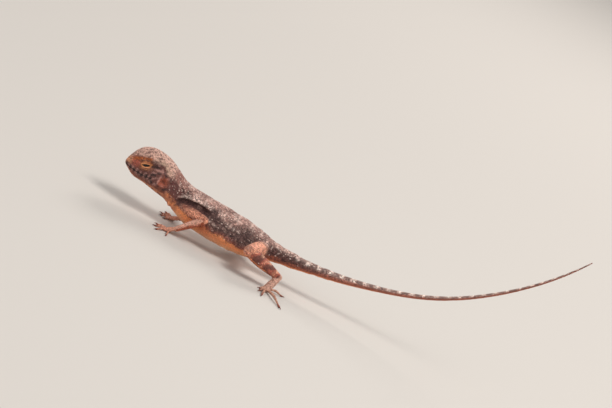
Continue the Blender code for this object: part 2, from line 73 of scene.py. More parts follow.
head = {
    "eye": (10.0, 3.75, 22.0),
    "eyeRadius": 2.45,
    "lidTilt": 20.0,
    "ear": (20.6, 7.2, 19.2),
    "earRadius": 2.0,
    "nostril": (2.1, 2.75, 20.6),
    "mouth": ((-2.0, 17.4), (1.0, 17.1), (5.0, 16.8), (9.0, 16.9), (12.5, 17.3), (15.0, 18.0)),
    "mouthEnd": 15.0,
}
limbs = {
    "leftFore": {
        "side": -1, "joints": ((33.6, 4.6, 12.9), (46.0, 12.0, 14.1), (36.0, 9.6, 3.1)),
        "palm": (33.0, 9.6, 1.3),
        "tips": ((28.6, 5.4), (25.9, 7.6), (25.6, 11.8), (27.4, 16.4), (33.6, 17.6)),
    },
    "rightFore": {
        "side": 1, "joints": ((33.4, 4.6, 12.7), (38.5, 17.6, 13.2), (34.6, 8.6, 3.1)),
        "palm": (31.6, 8.8, 1.3),
        "tips": ((27.4, 5.0), (24.9, 7.4), (24.6, 11.6), (26.4, 16.2), (32.4, 17.4)),
    },
    "leftHind": {
        "side": -1, "joints": ((74.8, 3.4, 12.8), (70.6, 17.2, 12.9), (88.2, 14.2, 7.7)),
        "palm": (85.2, 16.9, 1.5),
        "tips": ((81.8, 19.3), (82.7, 23.7), (85.0, 28.4), (95.6, 32.0), (94.7, 13.5)),
    },
    "rightHind": {
        "side": 1, "joints": ((74.8, 3.4, 12.8), (64.6, 16.4, 11.8), (77.4, 26.4, 6.8)),
        "palm": (75.0, 30.2, 1.5),
        "tips": ((70.6, 28.8), (67.8, 31.6), (64.8, 36.4), (63.0, 45.0), (81.8, 35.0)),
    },
}
limbRadii = {
    "Fore": {
        "upper": (2.65, 1.85), "lower": (1.82, 1.18), "palm": (1.7, 1.0),
        "digit": (0.66, 0.44), "arch": 0.7, "claw": 1.5,
    },
    "Hind": {
        "upper": (3.6, 2.8), "lower": (2.8, 1.52), "palm": (2.0, 1.3),
        "digit": (0.84, 0.5), "arch": 1.0, "claw": 1.9,
    },
}


def toFrame(points):
    return (np.asarray(points, float) - originFromSnout) * mm


def toSnout(points):
    return np.asarray(points, float) / mm + originFromSnout


def readArray(data, key, width=1, kind=float):
    # one property of every item, with this many columns
    values = np.empty(len(data) * width, kind)
    data.foreach_get(key, values)
    return values.reshape(-1, width) if width > 1 else values


def smoothLine(points):
    # a smooth curve through (place, value) pairs, as a function of place
    places = np.array([p[0] for p in points], float)
    values = np.array([p[1] for p in points], float)
    slopes = np.gradient(values, places)

    def at(x):
        x = np.clip(np.asarray(x, float), places[0], places[-1])
        i = np.clip(np.searchsorted(places, x, side="right") - 1, 0, len(places) - 2)
        width = places[i + 1] - places[i]
        t = (x - places[i]) / width
        rise = (2 * t**3 - 3 * t**2 + 1) * values[i] + (3 * t**2 - 2 * t**3) * values[i + 1]
        bend = (t**3 - 2 * t**2 + t) * slopes[i] + (t**3 - t**2) * slopes[i + 1]
        return rise + width * bend

    return at


topAt, underAt, halfWidthAt = (smoothLine([(row[0], row[k]) for row in body["outline"]]) for k in (1, 2, 3))
climbAt = smoothLine(body["tailClimb"])
tailRadiusAt = smoothLine(body["tailRadius"])
mouthAt = smoothLine(head["mouth"])


def smoothStep(low, high, value):
    t = np.clip((value - low) / (high - low), 0, 1)
    return t * t * (3 - 2 * t)


def bell(value, middle, reach):
    return np.exp(-(((value - middle) / reach) ** 2))


def between(value, start, full, fading, end):
    return smoothStep(start, full, value) * smoothStep(end, fading, value)


def creaseAt(x, z, width, length):
    # the slanted crease in the skin in front of the arm
    return bell(x + (z - 20.4) * 1.05, 29.4, width) * bell(z, 19.2, length)


def eyeMiddle(side):
    x, y, z = head["eye"]
    return x, side * y, z


def cloud(points, size, seed, waves=9):
    # smooth random values from -1 to 1 in patches about this size
    draw = np.random.default_rng(seed)
    ways = draw.normal(size=(waves, 3))
    ways /= np.linalg.norm(ways, axis=1, keepdims=True)
    ways *= draw.uniform(0.7, 1.4, (waves, 1)) * math.pi / size
    shift = draw.uniform(0, math.tau, waves)
    return np.cos(points @ ways.T + shift).sum(axis=1) / math.sqrt(waves)


def swayAt(along):
    # sideways place of the spine
    share = np.clip((along - body["headEnd"]) / (body["vent"] - body["headEnd"]), 0, 1)
    trunk = -body["trunkBow"] * np.sin(math.pi * share) ** 2
    back = np.clip((along - body["vent"]) / body["tailLength"], 0, 1)
    tail = body["tailSway"] * np.sin(1.5 * math.pi * back) * np.minimum(1.0, back * 3)
    return np.where(along <= body["vent"], trunk, tail)


def tailLine(steps=240):
    shares = np.linspace(0, 1, steps)
    slope = np.radians(climbAt(shares))
    step = body["tailLength"] / (steps - 1)
    middle = (slope[1:] + slope[:-1]) / 2
    start = (topAt(body["vent"]) + underAt(body["vent"])) / 2
    x = body["vent"] + np.concatenate([[0], np.cumsum(np.cos(middle) * step)])
    z = start + np.concatenate([[0], np.cumsum(np.sin(middle) * step)])
    y = swayAt(body["vent"] + shares * body["tailLength"])
    return shares, np.stack([x, y, z], axis=1)


tailShares, tailPlaces = tailLine()


def limbParts(name):
    # every stretch of a limb: its kind, the points that it follows, and the radius at each
    limb = limbs[name]
    radii = limbRadii[name[-4:]]
    turn = np.array([1, limb["side"], 1])
    flat = np.array([1, 1, 0])
    hip, knee, wrist = (np.array(j) * turn for j in limb["joints"])
    palm = np.array(limb["palm"]) * turn
    tips = [np.array([x, y, 0.1]) * turn for x, y in limb["tips"]]
    wide, high = radii["palm"]
    ahead = np.mean(tips[1:4], axis=0) - palm
    ahead[2] = 0
    ahead /= np.linalg.norm(ahead)
    knuckles = palm + ahead * 1.1
    knuckles[2] = high * 0.84
    across = np.array([-ahead[1], ahead[0], 0])
    if np.dot(across, tips[0] - palm) < 0:
        across = -across
    parts = [
        ("upper", [hip, knee], radii["upper"]),
        ("lower", [knee, wrist], radii["lower"]),
        ("palm", [wrist, knuckles], (wide * 0.8, wide)),
    ]
    last = len(tips) - 1
    for number, tip in enumerate(tips):
        setBack = 1.3 if number == last else 0.3
        base = knuckles + across * wide * (0.62 - 1.24 * number / last) - ahead * setBack
        base[2] = high * 0.8
        size = 0.86 if number in (0, last) else 1.0
        r0, r1 = (r * size for r in radii["digit"])
        run = (tip - base) * flat
        length = np.linalg.norm(run)
        way = run / length
        flesh = length - radii["claw"] * size * 0.8
        arch = radii["arch"] * min(1.0, length / 9)
        points, widths = [], []
        for share in np.linspace(0, 1, 6):
            radius = r0 + (r1 - r0) * share
            level = base[2] * (1 - share) ** 2 + radius * 0.86 * (1 - (1 - share) ** 2)
            level += arch * math.sin(math.pi * share) ** 1.5
            points.append(base * flat + way * flesh * share + np.array([0, 0, level]))
            widths.append(radius)
        parts.append((f"digit{number}", points, widths))
        point = points[-1] * flat + way * radii["claw"] * size + (0, 0, 0.1)
        parts.append((f"claw{number}", [points[-1], point], (0.36, 0.1)))
    return parts


def roundAxes(path):
    # two directions across a stretch, from which angles round it are measured
    axis = path[-1] - path[0]
    across = np.cross(axis, (0, 0, 1.0))
    across /= np.linalg.norm(across)
    up = np.cross(across, axis)
    return across, up / np.linalg.norm(up)


def kindNumber(name, kind):
    kinds = ("upper", "lower", "palm", "digit", "claw")
    return kinds.index(kind.rstrip("0123456789")) + (0 if name.endswith("Fore") else 10)


print("measures read")


# the skin
skinSettings = {
    "voxel": 0.352,  # finer than this, the skin passes 200,000 triangles
    "grow": 0.24,  # closes the gaps between the solids, and is taken off again
    "smoothRounds": 7,
    "rootRounds": 26,
    "mouthDepth": 0.34,
    "mouthWidth": 0.3,
    "behindLids": 2.62,
    "sunk": 0.1,  # the scales stand this much above the skin
}


headRelief = {
    # centre (along, out, up), reach, height above the plain head
    "canthus": ((5.2, 3.9, 25.2), (2.6, 1.5, 0.9), 0.26),
    "brow": ((10.2, 4.9, 26.3), (3.6, 1.6, 0.9), 0.42),
    "browRear": ((14.6, 5.8, 25.6), (2.0, 1.5, 0.9), 0.24),
    "loreal": ((5.6, 4.3, 21.4), (1.7, 2.0, 1.8), -0.42),
    "aboveLid": ((10.2, 6.0, 25.0), (3.2, 1.6, 0.5), -0.3),
    "belowLid": ((10.6, 6.2, 19.3), (3.0, 1.6, 0.5), -0.22),
    "behindLid": ((14.0, 6.4, 23.2), (0.7, 1.6, 1.6), -0.25),
    "upperLip": ((7.0, 4.8, 18.2), (6.0, 2.0, 0.7), 0.16),
    "lowerLip": ((7.0, 4.8, 15.8), (6.0, 2.0, 0.7), 0.14),
    "temple": ((17.0, 6.6, 24.2), (2.4, 2.0, 1.6), 0.28),
    "jowl": ((16.4, 7.4, 16.4), (2.8, 2.0, 2.2), 0.42),
    "earPit": ((20.8, 7.2, 19.2), (1.1, 2.5, 1.3), -0.95),
    "earFold": ((18.45, 7.4, 19.3), (0.5, 2.0, 2.1), 0.34),
    "earBrow": ((20.4, 7.0, 22.1), (2.0, 2.0, 0.5), 0.22),
    "behindEar": ((23.9, 6.0, 19.0), (0.9, 2.0, 3.0), -0.3),
    "crown": ((14.5, 0.0, 29.5), (4.5, 1.6, 2.0), -0.14),
    "nostril": ((2.1, 2.75, 20.6), (0.34, 0.8, 0.34), -0.4),
}


foldAt = smoothLine(((27, 13.0), (29.5, 15.2), (32, 16.9), (35, 17.8), (39, 18.3), (44, 18.4), (50, 17.6)))
eyeNodes = ("eye_left", "eye_right")
fleshNodes = [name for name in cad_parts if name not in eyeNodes]


def meshArrays(mesh):
    points = readArray(mesh.vertices, "co", 3)
    edges = readArray(mesh.edges, "vertices", 2, int)
    return points, edges, readArray(mesh.vertices, "normal", 3)


def meshFrom(tools, name):
    mesh = bpy.data.meshes.new(name)
    tools.to_mesh(mesh)
    tools.free()
    mesh.shade_smooth()
    return mesh


def newObject(name, data):
    obj = bpy.data.objects.new(name, data)
    bpy.context.scene.collection.objects.link(obj)
    return obj


def setPoints(mesh, points):
    mesh.vertices.foreach_set("co", toFrame(points).ravel())
    mesh.update()


def appliedMesh(obj):
    # the object's mesh with its modifiers, which are then taken off
    graph = bpy.context.evaluated_depsgraph_get()
    graph.update()
    mesh = bpy.data.meshes.new_from_object(obj.evaluated_get(graph))
    obj.modifiers.clear()
    return mesh


def evened(points, edges, rounds, weight=None, push=-0.53):
    # smooths a surface, and pushes back each time so that thin parts keep their size
    a, b = edges[:, 0], edges[:, 1]
    count = len(points)
    degree = np.bincount(a, minlength=count) + np.bincount(b, minlength=count)
    weight = np.ones(count) if weight is None else weight
    for _ in range(rounds):
        for share in (0.5, push):
            if not share:
                continue
            mean = np.stack(
                [
                    np.bincount(a, points[b, k], count) + np.bincount(b, points[a, k], count)
                    for k in range(3)
                ],
                axis=1,
            )
            mean /= np.maximum(degree, 1)[:, None]
            points = points + (mean - points) * share * weight[:, None]
    return points


def segmentPlace(points, start, end, r0, r1):
    # how far along a straight stretch each point lies, and its distance as a share of the radius
    axis = end - start
    t = np.clip((points - start) @ axis / (axis @ axis), 0, 1)
    offset = points - start - t[:, None] * axis
    return t, offset, np.linalg.norm(offset, axis=1) / (r0 + (r1 - r0) * t)


def tailPlace(points):
    # share of the tail's length, height, angle, and distance from its middle line
    gap = np.linalg.norm(points[:, None] - tailPlaces[None], axis=2)
    near = gap.argmin(axis=1)
    share = tailShares[near]
    radius, slope = tailRadiusAt(share), np.radians(climbAt(share))
    offset = points - tailPlaces[near]
    rise = offset[:, 2] * np.cos(slope) - offset[:, 0] * np.sin(slope)
    return np.stack([share, rise / radius, np.arctan2(rise, offset[:, 1]), gap.min(axis=1) / radius])


def limbPlace(points):
    # where points lie on the limb that they are nearest to
    limb = {key: np.zeros(len(points)) for key in ("limbRun", "limbU", "limbAngle")}
    limb.update({key: np.zeros(len(points), int) for key in ("limbKind", "limbNumber")})
    limb["limbReach"] = np.full(len(points), farAway)
    for number, name in enumerate(limbs):
        before = 0.0
        for kind, path, radii in limbParts(name):
            across, up = roundAxes(path)
            boxed = (points > np.min(path, axis=0) - 5) & (points < np.max(path, axis=0) + 5)
            near = np.flatnonzero(boxed.all(axis=1))
            for k, (start, end) in enumerate(zip(path, path[1:])):
                length = np.linalg.norm(end - start)
                t, offset, reach = segmentPlace(points[near], start, end, radii[k], radii[k + 1])
                closer = reach < limb["limbReach"][near]
                t, offset = t[closer], offset[closer]
                found = {
                    "limbReach": reach[closer],
                    "limbRun": (k + t) / (len(path) - 1),
                    "limbU": before + t * length,
                    "limbAngle": np.arctan2(offset @ up, offset @ across),
                    "limbKind": kindNumber(name, kind),
                    "limbNumber": number,
                }
                for key, value in found.items():
                    limb[key][near[closer]] = value
                before += length
            before += 2
    return limb


def placeOf(points):
    # where points lie on the animal, for its markings and its bake map
    points = np.asarray(points, float)
    x, y, z = points.T
    onTrunk = np.minimum(x, body["vent"])
    top, under = topAt(onTrunk), underAt(onTrunk)
    middle = under + (top - under) * body["widestShare"]
    aside = (y - swayAt(onTrunk)) / halfWidthAt(onTrunk)
    above = (z - middle) / np.where(z > middle, top - middle, middle - under)
    behind = np.flatnonzero(x > body["vent"] - 1)
    tail = np.zeros((4, len(points)))
    tail[3] = farAway
    for part in np.array_split(behind, max(1, len(behind) // 4000)):
        tail[:, part] = tailPlace(points[part])
    onTail = x > body["vent"]
    coreReach = np.where(onTail, tail[3], np.hypot(aside, above))
    limb = limbPlace(points)
    return {
        "points": points,
        "along": x,
        "level": np.where(onTail, 0.5 + 0.5 * tail[1], (z - under) / (top - under)),
        "tail": onTail,
        "share": tail[0],
        "angle": np.where(onTail, tail[2], np.arctan2(above, aside)),
        "limb": smoothStep(-0.12, 0.3, coreReach - np.maximum(limb["limbReach"], 0.75)),
        "coreReach": coreReach,
        **limb,
    }


bakeSettings = {
    "margin": 10,  # mm of the unwrap that no skin takes up
    "edge": (0.01, 0.02),  # the map's left and lower edge
    "bodyBand": 0.45,  # height of the band for head, trunk and tail
    "limbBand": 0.1,  # height of each limb's band
    "limbStart": 0.5,  # where the first limb's band begins
    "limbStep": 0.12,  # from one limb's band to the next
    "longestEdge": 0.02,  # a longer one crosses a seam
    "flatScale": 260,  # mm across the whole map, for faces that cross a seam
}


def bakePlaces(place):
    # where points lie on the unwrapped body: one band for head to tail, one for each limb
    span = body["vent"] + body["tailLength"] + bakeSettings["margin"]
    band, limbBand = bakeSettings["bodyBand"], bakeSettings["limbBand"]
    onTail = body["vent"] + place["share"] * body["tailLength"]
    u = np.where(place["tail"], onTail, np.maximum(place["along"], 0))
    left, low = bakeSettings["edge"]
    v = low + band * ((place["angle"] / math.tau + 0.25) % 1)
    onLimb = place["limb"] > 0.5
    u = np.where(onLimb, place["limbU"], u) / span + left
    limbV = bakeSettings["limbStart"] + bakeSettings["limbStep"] * place["limbNumber"]
    limbV = limbV + limbBand * ((place["limbAngle"] / math.tau + 0.25) % 1)
    return np.stack([u, np.where(onLimb, limbV, v)], axis=1), np.where(onLimb, limbBand, band)


def writeBakeMap(mesh, uv):
    layer = mesh.uv_layers.new(name="OFBake")
    layer.data.foreach_set("uv", np.clip(uv, 0, 1).astype(np.float32).ravel())


def skinBakeMap(mesh, points):
    # the same unwrap for the skin's own faces, with no face drawn across a seam
    places, turn = bakePlaces(placeOf(points))
    starts = readArray(mesh.polygons, "loop_start", kind=int)
    sizes = readArray(mesh.polygons, "loop_total", kind=int)
    corners = readArray(mesh.loops, "vertex_index", kind=int)
    first = np.repeat(corners[starts], sizes)
    uv, base, wrap = places[corners], places[first], turn[first]
    uv[:, 1] -= wrap * np.round((uv[:, 1] - base[:, 1]) / wrap)
    torn = np.abs(uv - base).max(axis=1) > bakeSettings["longestEdge"]
    offset = (points[corners] - points[first]) / bakeSettings["flatScale"]
    uv[torn] = base[torn] + offset[torn][:, [0, 2]]
    writeBakeMap(mesh, uv)


def buildSkinMesh():
    tools = bmesh.new()
    for name in fleshNodes:
        tools.from_mesh(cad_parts[name].data)
    bmesh.ops.remove_doubles(tools, verts=tools.verts[:], dist=1e-6)
    tools.normal_update()
    moves = [v.normal * skinSettings["grow"] * mm for v in tools.verts]
    for vert, move in zip(tools.verts, moves):
        vert.co += move
    source = newObject("skinSource", meshFrom(tools, "skinSource"))
    remesh = source.modifiers.new("Remesh", "REMESH")
    remesh.mode = "VOXEL"
    remesh.voxel_size = skinSettings["voxel"] * mm
    mesh = appliedMesh(source)
    bpy.data.objects.remove(source)
    return largestSurface(mesh)


def largestSurface(mesh):
    tools = bmesh.new()
    tools.from_mesh(mesh)
    unseen = set(tools.verts)
    groups = []
    while unseen:
        stack = [unseen.pop()]
        group = set(stack)
        while stack:
            for edge in stack.pop().link_edges:
                for vert in edge.verts:
                    if vert in unseen:
                        unseen.remove(vert)
                        group.add(vert)
                        stack.append(vert)
        groups.append(group)
    groups.sort(key=len)
    for group in groups[:-1]:
        bmesh.ops.delete(tools, geom=list(group), context="VERTS")
    tools.to_mesh(mesh)
    tools.free()
    return mesh


def shapeSkin(mesh):
    points, edges, normals = meshArrays(mesh)
    points = evened(toSnout(points), edges, skinSettings["smoothRounds"])
    place = placeOf(points)
    root = bell(place["coreReach"], 1.08, 0.3) * bell(place["limbReach"], 1.05, 0.45)
    points = evened(points, edges, skinSettings["rootRounds"], root, push=0)
    setPoints(mesh, points)
    points = points - meshArrays(mesh)[2] * (skinSettings["grow"] + skinSettings["sunk"])
    setPoints(mesh, points)
    normals = meshArrays(mesh)[2]
    x, y, z = points.T
    lift = np.zeros(len(points))
    for centre, reach, height in headRelief.values():
        away = ((x - centre[0]) / reach[0]) ** 2 + ((np.abs(y) - centre[1]) / reach[1]) ** 2
        lift += height * np.exp(-away - ((z - centre[2]) / reach[2]) ** 2)
    # the line of the mouth
    inMouth = smoothStep(head["mouthEnd"] + 0.6, head["mouthEnd"] - 0.6, x)
    lift -= skinSettings["mouthDepth"] * bell(z, mouthAt(x), skinSettings["mouthWidth"]) * inMouth
    # the loose fold that starts on the neck and runs back over the arm, with a hollow under it
    onBody = 1 - place["limb"]
    below = foldAt(x) - z
    span = smoothStep(28.5, 31.5, x) * smoothStep(50, 43, x) * (np.abs(y) > 3)
    lift += span * onBody * (0.5 * bell(below, -0.5, 0.75) - 0.95 * bell(below, 1.5, 1.35))
    lift -= 0.45 * creaseAt(x, z, 0.55, 1.7) * (np.abs(y) > 3)
    # small wrinkles of the neck, flank and limb roots
    throat = np.sin((x - 0.25 * z) * 2.6) * bell(x, 27.5, 3.2) * smoothStep(0.8, 0.4, place["level"])
    side = np.sin((x + 0.4 * z) * 1.9 + cloud(points, 6, 4)) * bell(place["level"], 0.4, 0.26)
    lift += onBody * (0.15 * throat + 0.13 * side * (bell(x, 46, 6) + 0.6 * bell(x, 62, 8)))
    lift += 0.12 * cloud(points, 2.6, 6) * (x > 24) * onBody * (place["share"] < 0.2)
    points = points + normals * lift[:, None]
    points[:, 2] = np.maximum(points[:, 2], 0.02)
    # inside the lids the skin keeps close to the ball, so that a thin lid doesn't turn inside out
    for eyeSide in (-1, 1):
        ballMiddle = np.array(eyeMiddle(eyeSide))
        away = points - ballMiddle
        far = np.linalg.norm(away, axis=1)
        inner = np.flatnonzero((far < 4.2) & ((normals * away).sum(axis=1) < 0))
        near = np.minimum(far[inner], skinSettings["behindLids"]) / far[inner]
        points[inner] = ballMiddle + away[inner] * near[:, None]
    setPoints(mesh, points)
    return points


skinMesh = buildSkinMesh()
skinPoints = shapeSkin(skinMesh)
print("skin shaped:", len(skinMesh.polygons), "faces")


# the markings, shared by the skin and the scales
def ink(red, green, blue):
    # a colour as the eye sees it, 0 to 255, made linear
    c = np.array([red, green, blue]) / 255
    return np.where(c <= 0.04045, c / 12.92, ((c + 0.055) / 1.055) ** 2.4)


# some of these stand partly for light: the dark tones of the fold, crease, armpit, throat, cheek and flank
# carry painted shade, the orange of the chin and lower flank painted bounce light, and the pale tail spots
# painted highlights
inks = {
    "back": (184, 145, 134), "backPale": (234, 208, 197), "backDark": (98, 68, 64),
    "flank": (94, 69, 66), "flankPale": (170, 138, 127), "hollow": (54, 33, 33),
    "foldShade": (88, 54, 51), "bellyEdge": (236, 152, 102), "belly": (228, 190, 158),
    "armpit": (174, 88, 58), "nape": (154, 106, 94), "neckSide": (104, 62, 58),
    "neckPale": (188, 150, 139), "throat": (138, 80, 62), "headTop": (208, 168, 153),
    "headFleck": (112, 81, 75), "temple": (182, 154, 130), "snoutTip": (222, 158, 120),
    "canthus": (184, 100, 52), "loreal": (196, 104, 82), "cheek": (108, 65, 58),
    "cheekPale": (174, 130, 121), "palePatch": (228, 172, 160), "chin": (196, 126, 92),
    "streak": (50, 34, 34), "lidSkin": (138, 86, 66), "lidPale": (240, 164, 108),
    "eardrum": (190, 104, 78), "tailTop": (190, 154, 142), "tailSide": (154, 98, 83),
    "tailSpot": (240, 222, 212), "tailGrey": (122, 100, 95), "tailLow": (166, 92, 70),
    "tailUnder": (220, 130, 80), "tailBase": (80, 48, 45), "arm": (244, 172, 142),
    "armUnder": (182, 98, 70), "armNet": (148, 84, 64), "armDark": (136, 66, 50),
    "forearm": (232, 178, 158), "hand": (214, 153, 129), "thigh": (240, 174, 148),
    "shin": (176, 97, 80), "legBar": (104, 62, 55), "legLine": (240, 186, 152),
    "legEdge": (232, 142, 90), "foot": (212, 167, 149), "toe": (206, 160, 138), "toeTip": (142, 70, 52),
}
inks = {name: ink(*colour) for name, colour in inks.items()}


def toward(colour, other, amount):
    return colour + (inks[other] - colour) * np.clip(amount, 0, 1)[:, None]


def eyeOffsets(points):
    # places along and across the slit of the eye, seen from the side
    tilt = math.radians(head["lidTilt"])
    along, up = points[:, 0] - head["eye"][0], points[:, 2] - head["eye"][2]
    return along * math.cos(tilt) + up * math.sin(tilt), up * math.cos(tilt) - along * math.sin(tilt)


class Paint:
    # colours laid over one another, each by an amount from 0 to 1
    def __init__(self, count, base):
        self.colour = np.tile(inks[base], (count, 1))

    def lay(self, name, amount):
        self.colour = toward(self.colour, name, amount)

    def cover(self, other, amount):
        self.colour = self.colour + (other.colour - self.colour) * amount[:, None]


def markings(points):
    place = placeOf(points)
    x, y, z = place["points"].T
    level, share, out = place["level"], place["share"], np.abs(y)
    net = bell(cloud(points, 1.3, 3), 0, 0.3)
    patch, fine = cloud(points, 3.2, 5), cloud(points, 0.8, 8)
    spots = smoothStep(0.55, 1.0, cloud(points, 0.95, 17))
    paint = Paint(len(points), "back")
    lay = paint.lay
    # trunk
    lay("backPale", 0.5 * smoothStep(0.5, 1.3, patch + 0.6 * fine))
    lay("backDark", 0.62 * net)
    blotch = smoothStep(0.2, 0.9, cloud(points * (1.3, 1, 1), 5.2, 14))
    lay("backDark", 0.4 * blotch)
    # the flank darker than the back, partly its colour, partly painted shade of the sides
    flank = smoothStep(0.92, 0.7, level + 0.06 * patch)
    lay("flank", 0.92 * flank)
    lay("flankPale", 0.62 * flank * smoothStep(0.35, 0.95, fine + 0.3 * patch))
    lay("hollow", 0.7 * flank * bell(cloud(points * (1, 1, 0.7), 1.25, 9), 0, 0.32))
    lay("shin", 0.4 * smoothStep(0.5, 0.38, level + 0.05 * patch))
    rear = bell(x, 67.0, 5.0) * bell(level, 0.76, 0.17)
    lay("hollow", 0.72 * rear * (0.8 + 0.2 * fine))
    # the orange of the lower flank and belly: painted bounce light over a paler colour
    low = 0.37 - 0.006 * np.clip(x - 58, 0, 30)
    lay("bellyEdge", smoothStep(low + 0.03, low - 0.05, level + 0.025 * patch))
    paleUnder = smoothStep(0.26, 0.0, level + 0.03 * patch) * between(x, 24, 36, 66, 80)
    lay("belly", 0.55 * paleUnder)
    lay("throat", 0.3 * smoothStep(0.5, 0.3, level) * bell(x, 50, 6))
    # painted shade under the arm, in a reddish tone
    armpit = bell(x, 45.5, 3.6) * bell(level, 0.34, 0.16) * (out > 5)
    lay("armpit", 0.75 * armpit)
    # neck
    neck = smoothStep(33, 29.5, x)
    mottled = smoothStep(0.1, 0.8, cloud(points, 1.6, 51)) * smoothStep(8, 13, x)
    lay("nape", neck * smoothStep(0.7, 0.86, level) * (1 - 0.5 * net))
    lay("neckSide", neck * smoothStep(0.82, 0.7, level) * smoothStep(0.3, 0.42, level))
    lay("neckPale", neck * bell(level, 0.6, 0.25) * spots * 0.7)
    # under the neck: the orange is painted bounce light and the darker band above it painted shade, both
    # broken by dark mottling
    lay("chin", neck * smoothStep(0.36, 0.18, level + 0.03 * patch) * (1 - 0.75 * mottled))
    lay("throat", neck * bell(level, 0.32, 0.1) * (0.5 + 0.5 * spots) * (1 - 0.6 * mottled))
    below = foldAt(x) - z
    span = between(x, 29, 32, 43.5, 48) * (out > 3.5)
    lay("backPale", 0.5 * span * bell(below, -0.7, 0.6))
    # painted shade in the hollow under the fold
    lay("foldShade", span * smoothStep(-0.1, 0.4, below) * smoothStep(4.8, 3.4, below))
    # painted shade in the slanted crease before the arm
    lay("hollow", 0.85 * creaseAt(x, z, 0.6, 1.9) * (out > 3))
    # a painted shadow line where the fold runs on behind the elbow
    line = bell(z, 17.9 + 0.4 * (x - 45.9), 0.42) * between(x, 44.5, 46, 49, 51)
    lay("hollow", 0.75 * line * (out > 3.5))
    # head
    onHead = smoothStep(25.0, 22.0, x)
    headTop = smoothStep(0.68, 0.76, level + 0.02 * patch - 0.1 * bell(x, 18, 2.5))
    lay("headTop", onHead * headTop)
    temple = onHead * headTop * bell(x, 17.5, 4) * smoothStep(0.98, 0.8, level)
    lay("temple", 0.8 * temple)
    lay("headFleck", onHead * headTop * 0.75 * smoothStep(0.5, 0.95, cloud(points, 1.0, 21)))
    # the side of the head darker than its top, partly its colour, partly painted shade
    cheek = onHead * (1 - headTop)
    lay("cheek", cheek)
    lay("cheekPale", cheek * 0.7 * smoothStep(0.3, 0.8, cloud(points, 1.15, 31)))
    lay("streak", cheek * 0.85 * smoothStep(0.35, 0.8, cloud(points, 1.3, 37)))
    loreal = bell(x, 5.4, 3.4) * bell(z, 20.8, 2.0) * smoothStep(1.4, 2.4, out)
    lay("loreal", 0.9 * onHead * loreal * (1 - 0.4 * spots))
    tip = smoothStep(3.9, 1.9, x) * between(z, 17.9, 18.9, 20.8, 22.4)
    lay("snoutTip", 0.95 * onHead * tip)
    # under the head: a darker band of painted shade, and the orange lower edge of the jaw, painted bounce
    # light
    low = 0.07 + 0.009 * np.clip(x - 8, 0, 20)
    throat = smoothStep(0.05, -0.03, level - low - 0.09 + 0.03 * patch)
    lay("throat", onHead * throat * 0.8 * (1 - 0.7 * mottled))
    chin = smoothStep(0.03, -0.03, level - low + 0.03 * patch)
    lay("chin", onHead * chin * (1 - 0.85 * mottled))
    stripe = bell(z, 23.8 + 0.5 * (x - 7.3), 0.9) * between(x, 2.4, 4.0, 10.5, 12.6)
    lay("canthus", onHead * 1.1 * stripe * smoothStep(1.2, 2.4, out))
    lip = onHead * bell(z, mouthAt(x) + 0.2, 1.2) * smoothStep(16, 14.5, x)
    bars = smoothStep(-0.1, 0.5, np.sin(x * 2.9 + 0.4))
    lay("cheekPale", 0.7 * lip * bars)
    lay("streak", 0.75 * lip * (1 - bars))
    # painted shade along the groove of the mouth
    lay("streak", onHead * bell(z, mouthAt(x), 0.26) * smoothStep(15.4, 14.6, x))
    pale = bell(x, 16.6, 2.4) * bell(z, 23.0 + 0.1 * (x - 16.6), 0.6) * smoothStep(5, 6.2, out)
    dark = bell(z, 24.3 - 0.1 * (x - 14), 0.5) * between(x, 12.5, 13.2, 16, 18.5)
    lay("streak", 0.5 * dark * smoothStep(4.5, 6, out))
    lay("palePatch", 0.9 * pale)
    a, b = eyeOffsets(points)
    byEye = smoothStep(1.15, 0.85, np.hypot(a / 4.2, b / 2.7)) * smoothStep(3.9, 5.0, out)
    lay("lidSkin", 0.85 * byEye)
    lay("canthus", 0.8 * byEye * bell(np.hypot(a / 3.0, b / 1.75), 1.0, 0.2) * (b > 0))
    lay("streak", 0.7 * byEye * bell(np.hypot(a / 3.6, b / 2.15), 1.0, 0.13) * (b > 0))
    lay("lidPale", 0.25 * byEye * smoothStep(0.2, 0.8, fine))
    rim = smoothStep(1.1, 0.92, np.hypot(a / 2.5, b / np.where(b > 0, 1.15, 0.98)))
    lay("lidPale", byEye * rim * np.where(b > 0, 1.0, 0.7))
    lowLid = bell(np.hypot(a / 2.9, b / 1.75), 1.0, 0.08) * (b < 0) * smoothStep(2.2, 1.2, np.abs(a + 0.3))
    lay("lidPale", 0.6 * byEye * lowLid)
    behindEye = between(a, 2.3, 2.7, 5.8, 7.4) * smoothStep(3.9, 5.0, out)
    lay("streak", 0.95 * bell(b, -0.1, 0.32 + 0.06 * np.clip(a, 0, 6)) * behindEye)
    ear = np.hypot((x - head["ear"][0]) / 0.95, z - head["ear"][2]) + 0.3 * fine
    lay("eardrum", 0.75 * smoothStep(3.4, 1.3, ear) * smoothStep(4, 5.2, out))
    lay("streak", 0.45 * smoothStep(1.7, 1.2, ear) * smoothStep(0.1, 0.8, cloud(points, 1.2, 77)))
    # painted shade inside the nostril
    hole = np.hypot(x - head["nostril"][0], z - head["nostril"][2])
    lay("streak", smoothStep(0.36, 0.2, hole) * (out > 1.5))
    lay("palePatch", 0.6 * bell(x, 18.35, 0.4) * bell(z, 19.4, 1.9) * smoothStep(5, 6, out))
    # tail
    tailPaint = Paint(len(points), "tailTop")
    layTail = tailPaint.lay
